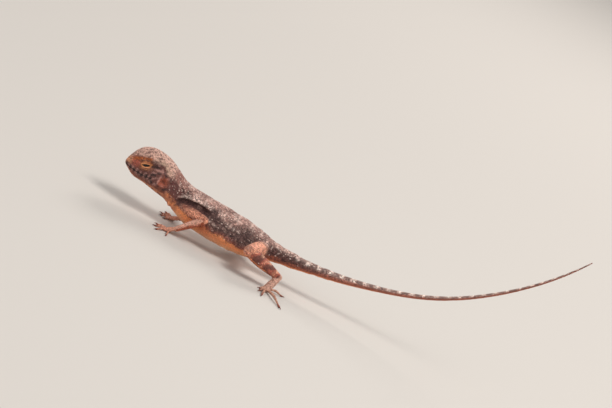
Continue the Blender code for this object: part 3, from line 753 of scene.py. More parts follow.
    # the tail's top lighter than its sides, partly its colour, partly painted highlight
    layTail("tailSide", smoothStep(0.8, 0.54, level))
    layTail("tailBase", 0.95 * smoothStep(0.24, 0.06, share) * smoothStep(0.97, 0.8, level))
    layTail("tailLow", 0.8 * smoothStep(0.5, 0.3, level + 0.04 * patch))
    layTail("tailUnder", smoothStep(0.24, 0.12, level) * (1 - 0.5 * smoothStep(0.2, 0.5, share)))
    rings = np.sin(share * body["tailLength"] * 1.12 + 0.3 * patch)
    onTop, pastBase = smoothStep(0.5, 0.78, level), smoothStep(0.04, 0.15, share)
    layTail("tailGrey", (0.25 + 0.5 * smoothStep(0.4, -0.4, rings)) * onTop * pastBase)
    layTail("hollow", 0.4 * net * (1 - pastBase))
    # pale flecks over the tail's root and pale spots in its bands on the top: partly their colour, partly
    # painted highlights
    layTail("backPale", 0.6 * smoothStep(0.5, 1.1, fine) * onTop * (1 - 0.7 * pastBase))
    layTail("tailSpot", 0.8 * smoothStep(0.25, 0.85, rings) * smoothStep(0.62, 0.8, level) * pastBase)
    paint.cover(tailPaint, smoothStep(76, 80, x))
    # limbs
    kind, run, angle = place["limbKind"], place["limbRun"], place["limbAngle"]
    upperArm, forearm, thigh, shin = (np.where(kind == k, 1.0, 0.0) for k in (0, 1, 10, 11))
    digit, claw = np.isin(kind, (3, 13)), np.isin(kind, (4, 14))
    hind = np.where(kind >= 10, 1.0, 0.0)
    limbPaint = Paint(len(points), "arm")
    layLimb = limbPaint.lay
    layLimb("armNet", 0.75 * bell(cloud(points, 1.0, 63), 0, 0.3))
    # the lower side of the upper arm darker and redder, partly its colour, partly painted shade
    layLimb("armUnder", smoothStep(12.4, 10.4, z + 0.12 * out) * upperArm)
    turn = np.sin(angle)
    layLimb("forearm", forearm * (0.7 + 0.3 * smoothStep(-0.2, 0.4, turn)))
    layLimb("armUnder", forearm * smoothStep(-0.1, -0.6, turn + 0.2 * patch))
    layLimb("armDark", upperArm * 0.7 * smoothStep(0.4, 0.85, cloud(points, 1.5, 66)))
    layLimb("hand", (kind >= 2) * (1 - hind))
    layLimb("thigh", hind)
    layLimb("legBar", thigh * 0.5 * smoothStep(0.3, 0.9, patch + 0.4 * fine))
    layLimb("shin", shin)
    band = np.sin(run * 17 + 0.5 * patch + 0.9 * np.cos(angle * 2))
    layLimb("legBar", shin * 0.85 * smoothStep(0.1, -0.5, band))
    layLimb("legLine", shin * 0.55 * bell(band, 0.9, 0.1))
    layLimb("legEdge", shin * 0.85 * bell(angle, -0.8, 0.17) * smoothStep(0.8, 0.6, run))
    layLimb("legLine", shin * 0.8 * bell(angle, 1.35, 0.35) * smoothStep(0.3, 0.9, np.sin(run * 24)))
    layLimb("legEdge", thigh * 0.6 * smoothStep(12.5, 10.5, z))
    layLimb("legLine", thigh * 0.45 * bell(np.sin(run * 11 + 0.8 * patch + 0.6 * turn), 0.9, 0.12))
    layLimb("foot", np.where(kind == 12, 1.0, 0.0))
    layLimb("toe", digit * hind)
    layLimb("armNet", hind * 0.45 * spots)
    layLimb("armNet", digit * 0.5 * smoothStep(0.0, 0.7, np.sin(place["limbU"] * 3.4)))
    layLimb("toeTip", digit * smoothStep(0.7, 1.0, run) * 0.85)
    layLimb("toeTip", claw)
    paint.cover(limbPaint, place["limb"])
    # painted shade in the hollow between the fold and the arm, and in the shorter one behind it
    under = span * smoothStep(14.0, 14.9, z) * smoothStep(0.0, 0.4, below) * smoothStep(44, 41, x)
    lay("foldShade", 0.85 * under * (1 - 0.6 * place["limb"]))
    lay("hollow", 0.8 * span * bell(below, 0.75, 0.55))
    lay("hollow", 0.6 * bell(x, 46.2, 3.0) * bell(z, 16.4, 1.3) * (out > 3.5))
    lay("flankPale", 0.6 * bell(x, 40.4, 1.3) * bell(z, 16.7, 0.8) * (out > 3.5))
    return paint.colour


def setColour(mesh, name, colours):
    layer = mesh.attributes.new(name, "FLOAT_COLOR", "POINT")
    rgba = np.concatenate([np.clip(colours, 0.001, 1), np.ones((len(colours), 1))], axis=1)
    layer.data.foreach_set("color", rgba.astype(np.float32).ravel())


setColour(skinMesh, "tint", markings(skinPoints) * 0.8)  # a little darker in the joints between scales
print("skin marked")


# materials
def nodeMaterial(name):
    material = bpy.data.materials.new(name)
    material.use_nodes = True
    tree = material.node_tree
    return material, tree, tree.nodes["Principled BSDF"]


def setValues(node, values):
    # a node's own settings and its inputs' values, by name or number
    for key, value in values.items():
        if isinstance(key, str) and hasattr(node, key):
            setattr(node, key, value)
        else:
            node.inputs[key].default_value = value


def addNode(tree, kind, values=None):
    node = tree.nodes.new(kind)
    setValues(node, values or {})
    return node


def wire(tree, *links):
    # each link is a node, its output, the next node and its input
    for source, output, target, name in links:
        tree.links.new(source.outputs[output], target.inputs[name])


def fillRamp(ramp, stops):
    elements = ramp.color_ramp.elements
    for number, (place, colour) in enumerate(stops):
        stop = elements[number] if number < 2 else elements.new(place)
        stop.position, stop.color = place, (*colour, 1)


def hideMaterial(name, roughness, fineScale, bumpHeight):
    # tint from the piece's own attribute, with fine mottling, and a fine grain in the bump
    material, tree, shader = nodeMaterial(name)
    tint = addNode(tree, "ShaderNodeAttribute", {"attribute_name": "tint"})
    where = addNode(tree, "ShaderNodeTexCoord")
    mottle = addNode(tree, "ShaderNodeTexNoise", {"Scale": fineScale * 0.35, "Detail": 3.0})
    grain = addNode(tree, "ShaderNodeTexNoise", {"Scale": fineScale, "Detail": 4.0})
    spread = addNode(tree, "ShaderNodeMapRange", {"To Min": 0.72, "To Max": 1.28})
    shaded = addNode(tree, "ShaderNodeVectorMath", {"operation": "SCALE"})
    rough = addNode(tree, "ShaderNodeMapRange", {"To Min": roughness - 0.12, "To Max": roughness + 0.12})
    bump = addNode(tree, "ShaderNodeBump", {"Strength": 0.5, "Distance": bumpHeight * mm})
    wire(
        tree,
        (where, "Object", mottle, "Vector"),
        (where, "Object", grain, "Vector"),
        (mottle, "Fac", spread, "Value"),
        (tint, "Color", shaded, 0),
        (spread, "Result", shaded, "Scale"),
        (shaded, 0, shader, "Base Color"),
        (grain, "Fac", rough, "Value"),
        (rough, "Result", shader, "Roughness"),
        (grain, "Fac", bump, "Height"),
        (bump, "Normal", shader, "Normal"),
    )
    setValues(shader, {"Specular IOR Level": 0.35})
    return material


skinMaterial = hideMaterial("netSkin", 0.66, 3000, 0.05)
scaleMaterial = hideMaterial("dryScale", 0.52, 5000, 0.02)


def eyeMaterial():
    # a dark wet ball, with a thin amber ring round the pupil
    material, tree, shader = nodeMaterial("wetEye")
    x, y, z = head["eye"]
    radius = head["eyeRadius"]
    # both eyes read the same place once the sign of each coordinate is dropped
    pupil = (abs(x - originFromSnout[0]) * mm, (y + radius) * mm, z * mm)
    where = addNode(tree, "ShaderNodeTexCoord")
    centred = addNode(tree, "ShaderNodeMapping", {"Location": (0, originFromSnout[1] * mm, 0)})
    folded = addNode(tree, "ShaderNodeVectorMath", {"operation": "ABSOLUTE"})
    ring = addNode(tree, "ShaderNodeVectorMath", {"operation": "DISTANCE", 1: pupil})
    spread = addNode(tree, "ShaderNodeMapRange", {"From Max": radius * mm})
    ramp = addNode(tree, "ShaderNodeValToRGB")
    wire(
        tree,
        (where, "Object", centred, "Vector"),
        (centred, "Vector", folded, 0),
        (folded, 0, ring, 0),
        (ring, "Value", spread, "Value"),
        (spread, "Result", ramp, "Fac"),
        (ramp, "Color", shader, "Base Color"),
    )
    black, dark = (0.003, 0.002, 0.002), (0.012, 0.008, 0.007)
    amber, brown = (0.03, 0.012, 0.006), (0.014, 0.008, 0.006)
    fillRamp(ramp, ((0.0, black), (1.0, dark), (0.36, black), (0.41, amber), (0.47, brown)))
    setValues(
        shader,
        {"Roughness": 0.18, "Specular IOR Level": 0.25, "Coat Weight": 0.2, "Coat Roughness": 0.04},
    )
    return material


grains = {
    "darkClaw": {
        "texture": "ShaderNodeTexNoise", "values": {"Scale": 1800.0, "Detail": 3.0}, "output": "Fac",
        "colours": (ink(70, 34, 28), ink(140, 72, 54)), "roughness": 0.32, "bump": 0.0,
    },
    # thin granular skin along the edge of a lid
    "lidEdge": {
        "texture": "ShaderNodeTexVoronoi", "values": {"Scale": 2600.0}, "output": "Distance",
        "colours": (ink(232, 170, 122), ink(186, 112, 70)), "roughness": 0.5, "bump": 0.05,
    },
}


def grainMaterial(name):
    # two colours mixed by the grain of one texture, which may also stand out
    made = grains[name]
    material, tree, shader = nodeMaterial(name)
    where = addNode(tree, "ShaderNodeTexCoord")
    grain = addNode(tree, made["texture"], made["values"])
    ramp = addNode(tree, "ShaderNodeValToRGB")
    wire(
        tree,
        (where, "Object", grain, "Vector"),
        (grain, made["output"], ramp, "Fac"),
        (ramp, "Color", shader, "Base Color"),
    )
    if made["bump"]:
        bump = addNode(tree, "ShaderNodeBump", {"Strength": 0.6, "Distance": made["bump"] * mm})
        wire(tree, (grain, made["output"], bump, "Height"), (bump, "Normal", shader, "Normal"))
    fillRamp(ramp, zip((0.0, 1.0), made["colours"]))
    setValues(shader, {"Roughness": made["roughness"]})
    return material


skin = newObject("skin", skinMesh)
skinBakeMap(skinMesh, skinPoints)
skinMesh.materials.clear()
skinMesh.materials.append(skinMaterial)
skinMesh.shade_smooth()
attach(skin, "root")
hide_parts(*fleshNodes)


# the scales: where each one grows, which way it lies, and its size
scaleSettings = {
    "minimumGap": 0.54,  # closest two scales may stand, as a share of their width
    "overlap": 1.85,  # length of a scale as a share of the step between rows
    "rowStep": (0.43, 0.05),  # mm between rows on the head, and what the trunk has more
    "stray": (0.1, 0.16),  # how far a scale leaves its place, in steps, and what the head has more
    "ringStep": 0.74,  # step between rings on a limb, as a share of a scale's width
    "tailStep": 0.72,  # the same on the tail
    "limb": {"upper": (0.6, 0.2), "lower": (0.55, 0.19), "palm": (0.44, 0.13)},  # width and height
    "digit": (0.34, 0.11),
    "sizeJitter": 0.12,
    "seed": 11,
    "patch": 0.003,  # width of a scale's own patch in the bake map
}
skinFaces = [tuple(p.vertices) for p in skinMesh.polygons]
skinTree = BVHTree.FromPolygons(skinPoints.tolist(), skinFaces)


class Coat:
    # one list of scales, all on one piece
    def __init__(self, name, slot):
        self.name = name
        self.slot = slot
        self.rows = []

    def add(self, found, lie, width, length, height, pale=0.0):
        # found is a place on the skin and the way it faces, or two Nones
        point, normal = found
        if point is None or point[2] < offFloor:
            return
        lie = Vector(lie) - normal * Vector(lie).dot(normal)
        if lie.length > 1e-6:
            self.rows.append((*point, *normal, *lie.normalized(), width, length, height, pale))


def castOut(centre, way, low, high):
    # the skin outwards from a point inside, if it lies at about the right distance
    hit, normal, _, away = skinTree.ray_cast(Vector(centre), Vector(way))
    if hit is None or away < low or away > high or normal.dot(Vector(way)) < 0.2:
        return None, None
    return hit, normal


def castIn(centre, way, reach):
    # the outermost skin towards a point inside, which passes over the hollow behind the lids
    hit, normal, _, _ = skinTree.ray_cast(Vector(centre) + Vector(way) * reach, -Vector(way), reach)
    if hit is None or normal.dot(Vector(way)) < 0.2:
        return None, None
    return hit, normal


def outside(place, side, lean=0.0):
    # the outermost skin of the head straight out from a place on the middle plane
    return castIn(place, (0, side, lean), acrossHead)


def allRound(number, count):
    # one of many directions, spread evenly over a ball by the golden angle
    up = 1 - 2 * (number + 0.5) / count
    flat, turn = math.sqrt(1 - up * up), number * 2.399963
    return flat * math.cos(turn), flat * math.sin(turn), up


def trunkWidth(along, level):
    # how wide a scale is on the head, neck and trunk
    back = smoothStep(0.62, 0.85, level)
    belly = smoothStep(0.25, 0.1, level)
    width = 0.54 + 0.2 * back + 0.16 * belly
    headWidth = 0.54 + 0.2 * smoothStep(0.75, 0.95, level) - 0.1 * smoothStep(6, 0, along)
    width += (0.46 + 0.14 * back - width) * bell(along, 27.5, 3.2)
    return float(width + (headWidth - width) * smoothStep(25, 21, along))


def nearEye(point, long=3.75, high=2.7):
    a, b = eyeOffsets(np.array([point]))
    return math.hypot(a[0] / long, b[0] / high) < 1 and abs(point[1]) > head["eye"][1]


def nearEar(point):
    x, y, z = head["ear"]
    away = math.hypot((point[0] - x) / 0.86, point[2] - z)
    return away < head["earRadius"] - 0.65 and abs(point[1]) > y - 3


def nearNostril(point):
    x, y, z = head["nostril"]
    return math.hypot(point[0] - x, point[2] - z) < 0.42 and abs(point[1]) > y * 0.5


def nearLip(point, width):
    return point[0] < head["mouthEnd"] and abs(point[2] - float(mouthAt(point[0]))) < 0.22 + width * 0.4


def bareSpot(point, width):
    return nearEar(point) or nearNostril(point) or nearLip(point, width)


def seedTrunk(headCoat, trunkCoat):
    draw = np.random.default_rng(scaleSettings["seed"])
    (headStep, trunkMore), (stray, headMore) = scaleSettings["rowStep"], scaleSettings["stray"]
    along, row = 0.2, 0
    while along < body["vent"]:
        onHead = float(smoothStep(27, 23, along))
        step = headStep + trunkMore * float(smoothStep(30, 40, along))
        loose = stray + headMore * onHead
        coat = headCoat if along < body["headEnd"] + 6 else trunkCoat
        angle = math.pi / 2
        turned = 0.0
        while turned < math.tau:
            place = max(0.1, along + step * loose * draw.uniform(-1, 1))
            top, under = float(topAt(place)), float(underAt(place))
            middle = under + (top - under) * body["widestShare"]
            tall = top - middle if math.sin(angle) > 0 else middle - under
            radius = math.hypot(float(halfWidthAt(place)) * math.cos(angle), tall * math.sin(angle))
            level = (middle + radius * math.sin(angle) - under) / (top - under)
            width = trunkWidth(place, level)
            spin = width / max(radius, 0.6)
            if turned == 0 and row % 2:
                angle += spin / 2
                turned += spin / 2
            leaned = angle + spin * loose * draw.uniform(-1, 1)
            way = (0.0, math.cos(leaned), math.sin(leaned))
            centre = (place, float(swayAt(place)), middle)
            if place < body["headEnd"] + 2:
                hit, normal = castIn(centre, way, radius * 1.35 + 1.2)
            else:
                hit, normal = castOut(centre, way, radius * 0.55, radius * 1.35 + 0.6)
            if hit is not None:
                facing = max(0.35, normal.dot(Vector(way)))
                spin = width * facing / max((hit - Vector(centre)).length, 0.6)
            if hit is not None and not (nearEye(hit) or bareSpot(hit, width)):
                height = 0.2 + 0.05 * float(smoothStep(0.6, 0.85, level))
                height -= 0.08 * float(smoothStep(0.3, 0.15, level))
                height *= 0.78 if onHead > 0.5 else 1.0
                drop = -0.15 * math.cos(angle) ** 2
                lie = (1, 0.12 * draw.normal(), drop + 0.12 * draw.normal())
                longer = scaleSettings["overlap"] - (scaleSettings["overlap"] - 1.5) * onHead
                size = 1.06 + 0.16 * onHead * draw.uniform(-1, 1)
                length = max(step * longer, width * 1.02) * size
                coat.add((hit, normal), lie, width * size, length, height)
            angle += spin
            turned += spin
        along += step
        row += 1


def ringWays(draw, radius, width, row, wander, across, up):
    # the angle and direction of each scale of a ring, every other row set off by half a scale
    around = max(6, round(math.tau * radius / width))
    for k in range(around):
        angle = math.tau * (k + 0.5 * (row % 2) + draw.uniform(-wander, wander)) / around
        yield angle, across * math.cos(angle) + up * math.sin(angle)


def seedRound(coat, path, radii, width, height, ends=(0.0, 0.0)):
    # rings of scales along a round stretch that may bend, lying towards its end
    draw = np.random.default_rng(scaleSettings["seed"] + len(coat.rows))
    path = [np.array(p, float) for p in path]
    lengths = np.array([0.0] + [np.linalg.norm(b - a) for a, b in zip(path, path[1:])]).cumsum()
    across, up = roundAxes(path)
    step = width * scaleSettings["ringStep"]
    along, row = step * 0.5 - ends[0], 0
    while along < lengths[-1] + ends[1]:
        k = int(np.clip(np.searchsorted(lengths, along) - 1, 0, len(path) - 2))
        share = (along - lengths[k]) / (lengths[k + 1] - lengths[k])
        radius = float(np.interp(along, lengths, radii))
        centre = path[k] + (path[k + 1] - path[k]) * share
        lie = Vector(path[k + 1] - path[k])
        for _, way in ringWays(draw, radius, width, row, 0.13, across, up):
            found = castOut(centre, way, radius * 0.35, radius * 1.6 + 0.35)
            coat.add(found, lie, width * 1.08, step * scaleSettings["overlap"], height)
        along += step
        row += 1


def seedCap(coat, centre, lie, radius, width, height):
    # scales all round a joint, where the rings of the two stretches leave gaps
    count = int(13 * (radius / width) ** 2)
    for k in range(count):
        found = castOut(centre, allRound(k, count), radius * 0.5, radius * 1.5 + 0.3)
        coat.add(found, lie, width * 1.08, width * 1.3, height)


def seedTail(coat):
    draw = np.random.default_rng(scaleSettings["seed"] + 1)
    along, row = 0.15, 0
    while along < body["tailLength"] - 0.4:
        share = along / body["tailLength"]
        radius = float(tailRadiusAt(share))
        centre = np.array([np.interp(share, tailShares, tailPlaces[:, k]) for k in range(3)])
        slope = math.radians(float(climbAt(share)))
        axis = Vector((math.cos(slope), 0, math.sin(slope)))
        across, up = np.array([0, 1, 0]), np.array([-math.sin(slope), 0, math.cos(slope)])
        width = 0.42 + 0.36 * min(1, radius / 3.2)
        step = width * scaleSettings["tailStep"]
        for angle, way in ringWays(draw, radius, width, row, 0.08, across, up):
            found = castOut(centre, way, radius * 0.4, radius * 1.5 + 0.3)
            height = 0.2 + 0.05 * math.sin(angle)
            coat.add(found, axis, width * 1.05, step * scaleSettings["overlap"], height)
        along += step
        row += 1


def seedLimbs(foreCoat, hindCoat):
    for name in limbs:
        coat, size = (foreCoat, 0.92) if name.endswith("Fore") else (hindCoat, 1.08)
        for kind, path, radii in limbParts(name):
            if kind.startswith("claw"):
                continue
            width, height = scaleSettings["limb"].get(kind, scaleSettings["digit"])
            width *= size
            seedRound(coat, path, radii, width, height, (0.0, 0.15))
            if kind in ("upper", "lower", "palm"):
                seedCap(coat, path[-1], path[-1] - path[0], radii[-1], width, height)


def eyePlace(side, long, high, angle):
    # a place on an oval round the eye, turned like its slit, and on the middle plane
    x, _, z = eyeMiddle(side)
    tilt = math.radians(head["lidTilt"])
    a, b = long * math.cos(angle), high * math.sin(angle)
    return x + a * math.cos(tilt) - b * math.sin(tilt), 0, z + a * math.sin(tilt) + b * math.cos(tilt)


trimSettings = {
    "lipRows": ((0.44, 0.8), (-0.42, 0.76)),  # height over the line of the mouth, length of a scale
    "lidBorder": ((3.96, 2.41, 0.49, 0.13), (4.36, 2.79, 0.54, 0.14)),  # half axes, size and height
    "browStart": 3.0,
    "browLength": 11.8,
    "browScales": 17,
    "earRing": (1.28, 1.55),  # half axes
    "earScales": 26,
    "earFront": (0.66, 0.3),  # length and height
    "earBack": (0.5, 0.14),
    "spines": ((23.5, 55), (28.5, 50), (31.0, 40), (33.0, 48), (35.5, 62), (39.0, 55)),  # along, angle
}


def seedLips(coat, side):
    for drop, width in trimSettings["lipRows"]:
        along = 0.5
        while along < head["mouthEnd"] - 0.2:
            found = outside((along, 0, float(mouthAt(along)) + drop), side)
            coat.add(found, (1, 0, 0), 0.6, width * 1.1, 0.15)
            along += width


def seedLids(coat, side):
    # granules in rings over both lids
    middle = Vector(eyeMiddle(side))
    for number, share in enumerate(lidSettings["granuleRings"]):
        size = 0.25 + 0.12 * share
        around = int((11.6 + 9 * share) / size)
        ring, further = lidRing(side, share, around * 2), lidRing(side, share + 0.05, around * 2)
        for k, place in enumerate(ring):
            if k % 2 != number % 2:
                continue
            out = Vector(further[k]) - Vector(place)
            hit, normal, _, _ = skinTree.find_nearest(Vector(place))
            above = (Vector(place) - hit).dot(normal) > -0.03
            if above or (hit - middle).dot(normal) < 0:
                hit = Vector(place)
                normal = out.cross(Vector(ring[(k + 1) % len(ring)]) - Vector(ring[k - 1])).normalized()
                normal = normal if normal[1] * side > 0 else -normal
            # at the corners of the eye the head's own skin stands further out than the lid
            outer, outward = outside((place[0], 0, place[2]), side)
            if outer is not None and abs(outer[1]) > abs(hit[1]) + 0.1:
                hit, normal = outer, outward
            coat.add((hit, normal), out, size * 1.08, size * 1.25, 0.07)


lidSettings = {
    "opening": (2.2, 0.74),  # half length and half height of the slit
    "reach": (3.9, 2.75),
    "edgeRadius": 2.66,
    "outerRadius": 3.18,
    "onBall": 0.5,  # share of the lid that lies on the ball, before it runs out to the head
    "rings": 13,
    "granuleRings": (0.11, 0.2, 0.29, 0.39, 0.49, 0.6, 0.71, 0.83, 0.95),
}


def lidRing(side, share, count=56):
    # one ring of a lid: share 0 is the almond between the lids, and 1 is out where they meet the head
    tilt = math.radians(head["lidTilt"])
    x, y, z = head["eye"]
    (long, high), (longReach, highReach) = lidSettings["opening"], lidSettings["reach"]
    edge, outer = lidSettings["edgeRadius"], lidSettings["outerRadius"]
    long += (longReach - long) * share
    high += (highReach - high) * share
    radius = edge + (outer - edge) * min(1, share * 4) ** 0.6
    pointed = 1.65 - 0.65 * min(1, share * 1.6)
    blend = float(smoothStep(lidSettings["onBall"], 1, share))
    points = []
    for k in range(count):
        angle = math.tau * k / count
        a = long * math.cos(angle)
        b = high * math.copysign(abs(math.sin(angle)) ** pointed, math.sin(angle))
        away = y + math.sqrt(max(0.05, radius**2 - a * a - b * b))
        along = x + a * math.cos(tilt) - b * math.sin(tilt)
        up = z + a * math.sin(tilt) + b * math.cos(tilt)
        hit, _ = outside((along, 0, up), side)
        if blend > 0 and hit is not None:
            away += (abs(hit[1]) - 0.06 - away) * blend
        points.append((along, side * away, up))
    return points


def seedHeadTrim(coat):
    # lips, lids, brow and the rim of the ear, on both sides
    draw = np.random.default_rng(scaleSettings["seed"] + 2)
    for side in (-1, 1):
        seedLips(coat, side)
        seedLids(coat, side)
        for half, (long, high, size, height) in enumerate(trimSettings["lidBorder"]):
            count = int(math.tau * math.hypot(long, high) / math.sqrt(2) / size)
            for k in range(count):
                angle = math.tau * (k + 0.5 * (1 - half) + draw.uniform(-0.15, 0.15)) / count
                found = outside(eyePlace(side, long, high, angle), side)
                if found[0] is not None:
                    coat.add(found, found[0] - Vector(eyeMiddle(side)), size * 1.05, size * 1.15, height)
        for share in np.linspace(0, 1, trimSettings["browScales"]):
            level = 25.3 + 1.1 * math.sin(math.pi * min(1, share * 1.15)) - 1.6 * (1 - share) ** 2
            place = (trimSettings["browStart"] + trimSettings["browLength"] * share, 0, level)
            coat.add(outside(place, side, lean=0.12), (1, 0, 0.1), 0.62, 0.95, 0.26)
        x, _, z = head["ear"]
        count = trimSettings["earScales"]
        for k in range(count):
            angle = math.tau * (k + draw.uniform(-0.2, 0.2)) / count
            long, high = (reach + draw.uniform(-0.1, 0.1) for reach in trimSettings["earRing"])
            place = (x + long * math.cos(angle), 0, z + high * math.sin(angle))
            length, height = trimSettings["earFront" if math.cos(angle) < 0 else "earBack"]
            coat.add(outside(place, side), (1, 0, -0.2), 0.42, length, height)


def seedSpines(coat):
    # small pale spines in loose clusters on the nape, the sides of the neck and over the shoulder
    draw = np.random.default_rng(23)
    for along, lift in trimSettings["spines"]:
        for side in (-1, 1):
            for _ in range(6):
                x = along + draw.uniform(-1.1, 1.1)
                angle = math.radians(lift + draw.uniform(-9, 9))
                middle = float(underAt(x)) + float(topAt(x) - underAt(x)) * body["widestShare"]
                way = (0.0, side * math.cos(angle), math.sin(angle))
                found = castOut((x, float(swayAt(x)), middle), way, 2, 12)
                if found[0] is not None:
                    coat.add(found, (1, 0, 0.2), 0.46, 0.74, 0.34, pale=draw.uniform(0.1, 0.6))


def treeOf(rows):
    tree = KDTree(len(rows))
    for number, row in enumerate(rows):
        tree.insert(row[:3], number)
    tree.balance()
    return tree


headCoat, trunkCoat = Coat("headScales", "hide"), Coat("trunkScales", "hide")
tailCoat = Coat("tailScales", "hide")
foreCoat, hindCoat = Coat("foreScales", "limb_hide"), Coat("hindScales", "limb_hide")
seedHeadTrim(headCoat)
seedSpines(headCoat)
seedCap(headCoat, (3.6, 0, 20.4), (1, 0, 0), 3.4, 0.46, 0.13)
seedTrunk(headCoat, trunkCoat)
seedTail(tailCoat)
seedLimbs(foreCoat, hindCoat)


def thinned(coats):
    # drops a scale that grows too close to one already kept
    rows = [(coat, row) for coat in coats for row in coat.rows]
    tree = treeOf([row for _, row in rows])
    gone = np.zeros(len(rows), bool)
    for number, (_, row) in enumerate(rows):
        if gone[number]:
            continue
        for _, other, _ in tree.find_range(row[:3], row[9] * scaleSettings["minimumGap"]):
            if other > number:
                gone[other] = True
    for coat in coats:
        coat.rows = []
    for number, (coat, row) in enumerate(rows):
        if not gone[number]:
            coat.rows.append(row)


def fillGaps(coat, width, height):
    # small scales in the gaps that the rows leave on the head, where its surface slopes away from them
    tree = treeOf(coat.rows)
    gap = width * 0.82
    tries = 3600
    added = []
    for centre in ((5, 0, 20.5), (11, 0, 21.5), (17, 0, 21), (22, 0, 20)):
        for k in range(tries):
            hit, normal = castIn(centre, allRound(k, tries), 14)
            if hit is None or nearEye(hit, 3.1, 2.35) or bareSpot(hit, width):
                continue
            if tree.find(hit)[2] > gap and all((hit - other).length > gap for other in added):
                added.append(hit)
                coat.add((hit, normal), (1, 0, 0.1), width, width * 1.25, height)
    print("gaps filled on the head:", len(added))


allCoats = (headCoat, trunkCoat, tailCoat, foreCoat, hindCoat)
thinned(allCoats)
fillGaps(headCoat, 0.46, 0.14)
print("scales placed:", [len(coat.rows) for coat in allCoats])


def scaleShape(name, rings, keel):
    # one scale, 1 long along +X and 1 wide, its rear end raised, open underneath
    tools = bmesh.new()
    patch = tools.verts.layers.float_vector.new("patch")
    outline = ((-0.5, 0), (-0.2, 0.42), (0.22, 0.46), (0.6, 0), (0.22, -0.46), (-0.2, -0.42))
    loops = []
    for shrink, front, rear in rings:
        loop = []
        for x, y in outline:
            vert = tools.verts.new((x * shrink, y * shrink, front + (rear - front) * (x + 0.5)))
            loop.append(vert)
        loops.append(loop)
    for one, two in zip(loops, loops[1:]):
        for k in range(6):
            after = (k + 1) % 6
            tools.faces.new((one[k], two[k], two[after], one[after]))
    front, rear = (tools.verts.new(place) for place in keel)
    top = loops[-1]
    for a, b, tip in ((0, 1, front), (1, 2, rear), (2, 3, rear), (3, 4, rear), (4, 5, rear), (5, 0, front)):
        tools.faces.new((top[a], tip, top[b]))
    tools.faces.new((top[1], front, rear))
    tools.faces.new((top[5], rear, front))
    bmesh.ops.recalc_face_normals(tools, faces=tools.faces[:])
    for vert in tools.verts:
        vert[patch] = (vert.co.x, vert.co.y, 0)
    mesh = meshFrom(tools, name)
    if sum(p.normal.z for p in mesh.polygons) < 0:
        mesh.flip_normals()
    obj = newObject(name, mesh)
    obj.hide_render = True
    return obj


keeledScale = scaleShape(
    "keeledScale", ((1.0, -1.0, -0.1), (0.88, -0.55, 0.62)), ((-0.2, 0, 0.22), (0.44, 0, 1.05))
)
roundScale = scaleShape(
    "roundScale", ((1.0, -0.9, -0.6), (0.82, 0.05, 0.5)), ((-0.14, 0, 0.5), (0.22, 0, 0.95))
)


def coatTree():
    # a scale on every point, turned by its two directions and stretched by its own spread
    tree = bpy.data.node_groups.new("scaleCoat", "GeometryNodeTree")
    inputs = {
        "Geometry": "Geometry", "Scale Shape": "Object", "Size Jitter": "Float", "Seed": "Int",
        "Surface": "Material",
    }
    for name, kind in inputs.items():
        tree.interface.new_socket(name, in_out="INPUT", socket_type="NodeSocket" + kind)
    tree.interface.new_socket("Geometry", in_out="OUTPUT", socket_type="NodeSocketGeometry")
    start, finish = addNode(tree, "NodeGroupInput"), addNode(tree, "NodeGroupOutput")
    shape = addNode(tree, "GeometryNodeObjectInfo")
    normalWay, lieWay, spread = (
        addNode(tree, "GeometryNodeInputNamedAttribute", {"data_type": "FLOAT_VECTOR", "Name": name})
        for name in ("normalWay", "lieWay", "spread")
    )
    turn = addNode(tree, "FunctionNodeAxesToRotation", {"primary_axis": "Z", "secondary_axis": "X"})
    low = addNode(tree, "ShaderNodeMath", {"operation": "SUBTRACT", 0: 1})
    high = addNode(tree, "ShaderNodeMath", {0: 1})
    draw = addNode(tree, "FunctionNodeRandomValue")
    size = addNode(tree, "ShaderNodeVectorMath", {"operation": "SCALE"})
    place = addNode(tree, "GeometryNodeInstanceOnPoints")
    real = addNode(tree, "GeometryNodeRealizeInstances")
    surface = addNode(tree, "GeometryNodeSetMaterial")
    wire(
        tree,
        (start, "Scale Shape", shape, "Object"),
        (normalWay, "Attribute", turn, "Primary Axis"),
        (lieWay, "Attribute", turn, "Secondary Axis"),
        (start, "Size Jitter", low, 1),
        (start, "Size Jitter", high, 1),
        (low, 0, draw, 2),
        (high, 0, draw, 3),
        (start, "Seed", draw, "Seed"),
        (spread, "Attribute", size, 0),
        (draw, 1, size, "Scale"),
        (start, "Geometry", place, "Points"),
        (shape, "Geometry", place, "Instance"),
        (turn, "Rotation", place, "Rotation"),
        (size, 0, place, "Scale"),
        (place, "Instances", real, "Geometry"),
        (real, "Geometry", surface, "Geometry"),
        (start, "Surface", surface, "Material"),
        (surface, "Geometry", finish, "Geometry"),
    )
    return tree


def setInputs(modifier, values):
    for item in modifier.node_group.interface.items_tree:
        if item.in_out == "INPUT" and item.name in values:
            modifier[item.identifier] = values[item.name]


paleMarks = (  # the plainest pale marks of the side: along, level, and the reach of each way
    (57.2, 0.94, 0.45, 0.045), (59.1, 0.97, 0.45, 0.04), (59.4, 0.72, 0.6, 0.04), (61.7, 0.73, 0.7, 0.035),
    (65.8, 0.97, 0.6, 0.05), (67.2, 0.93, 0.4, 0.06), (47.4, 0.57, 1.2, 0.03), (50.2, 0.55, 1.0, 0.03),
    (42.0, 0.93, 0.5, 0.04), (52.8, 0.9, 0.4, 0.05), (71.5, 0.95, 0.5, 0.05),
)


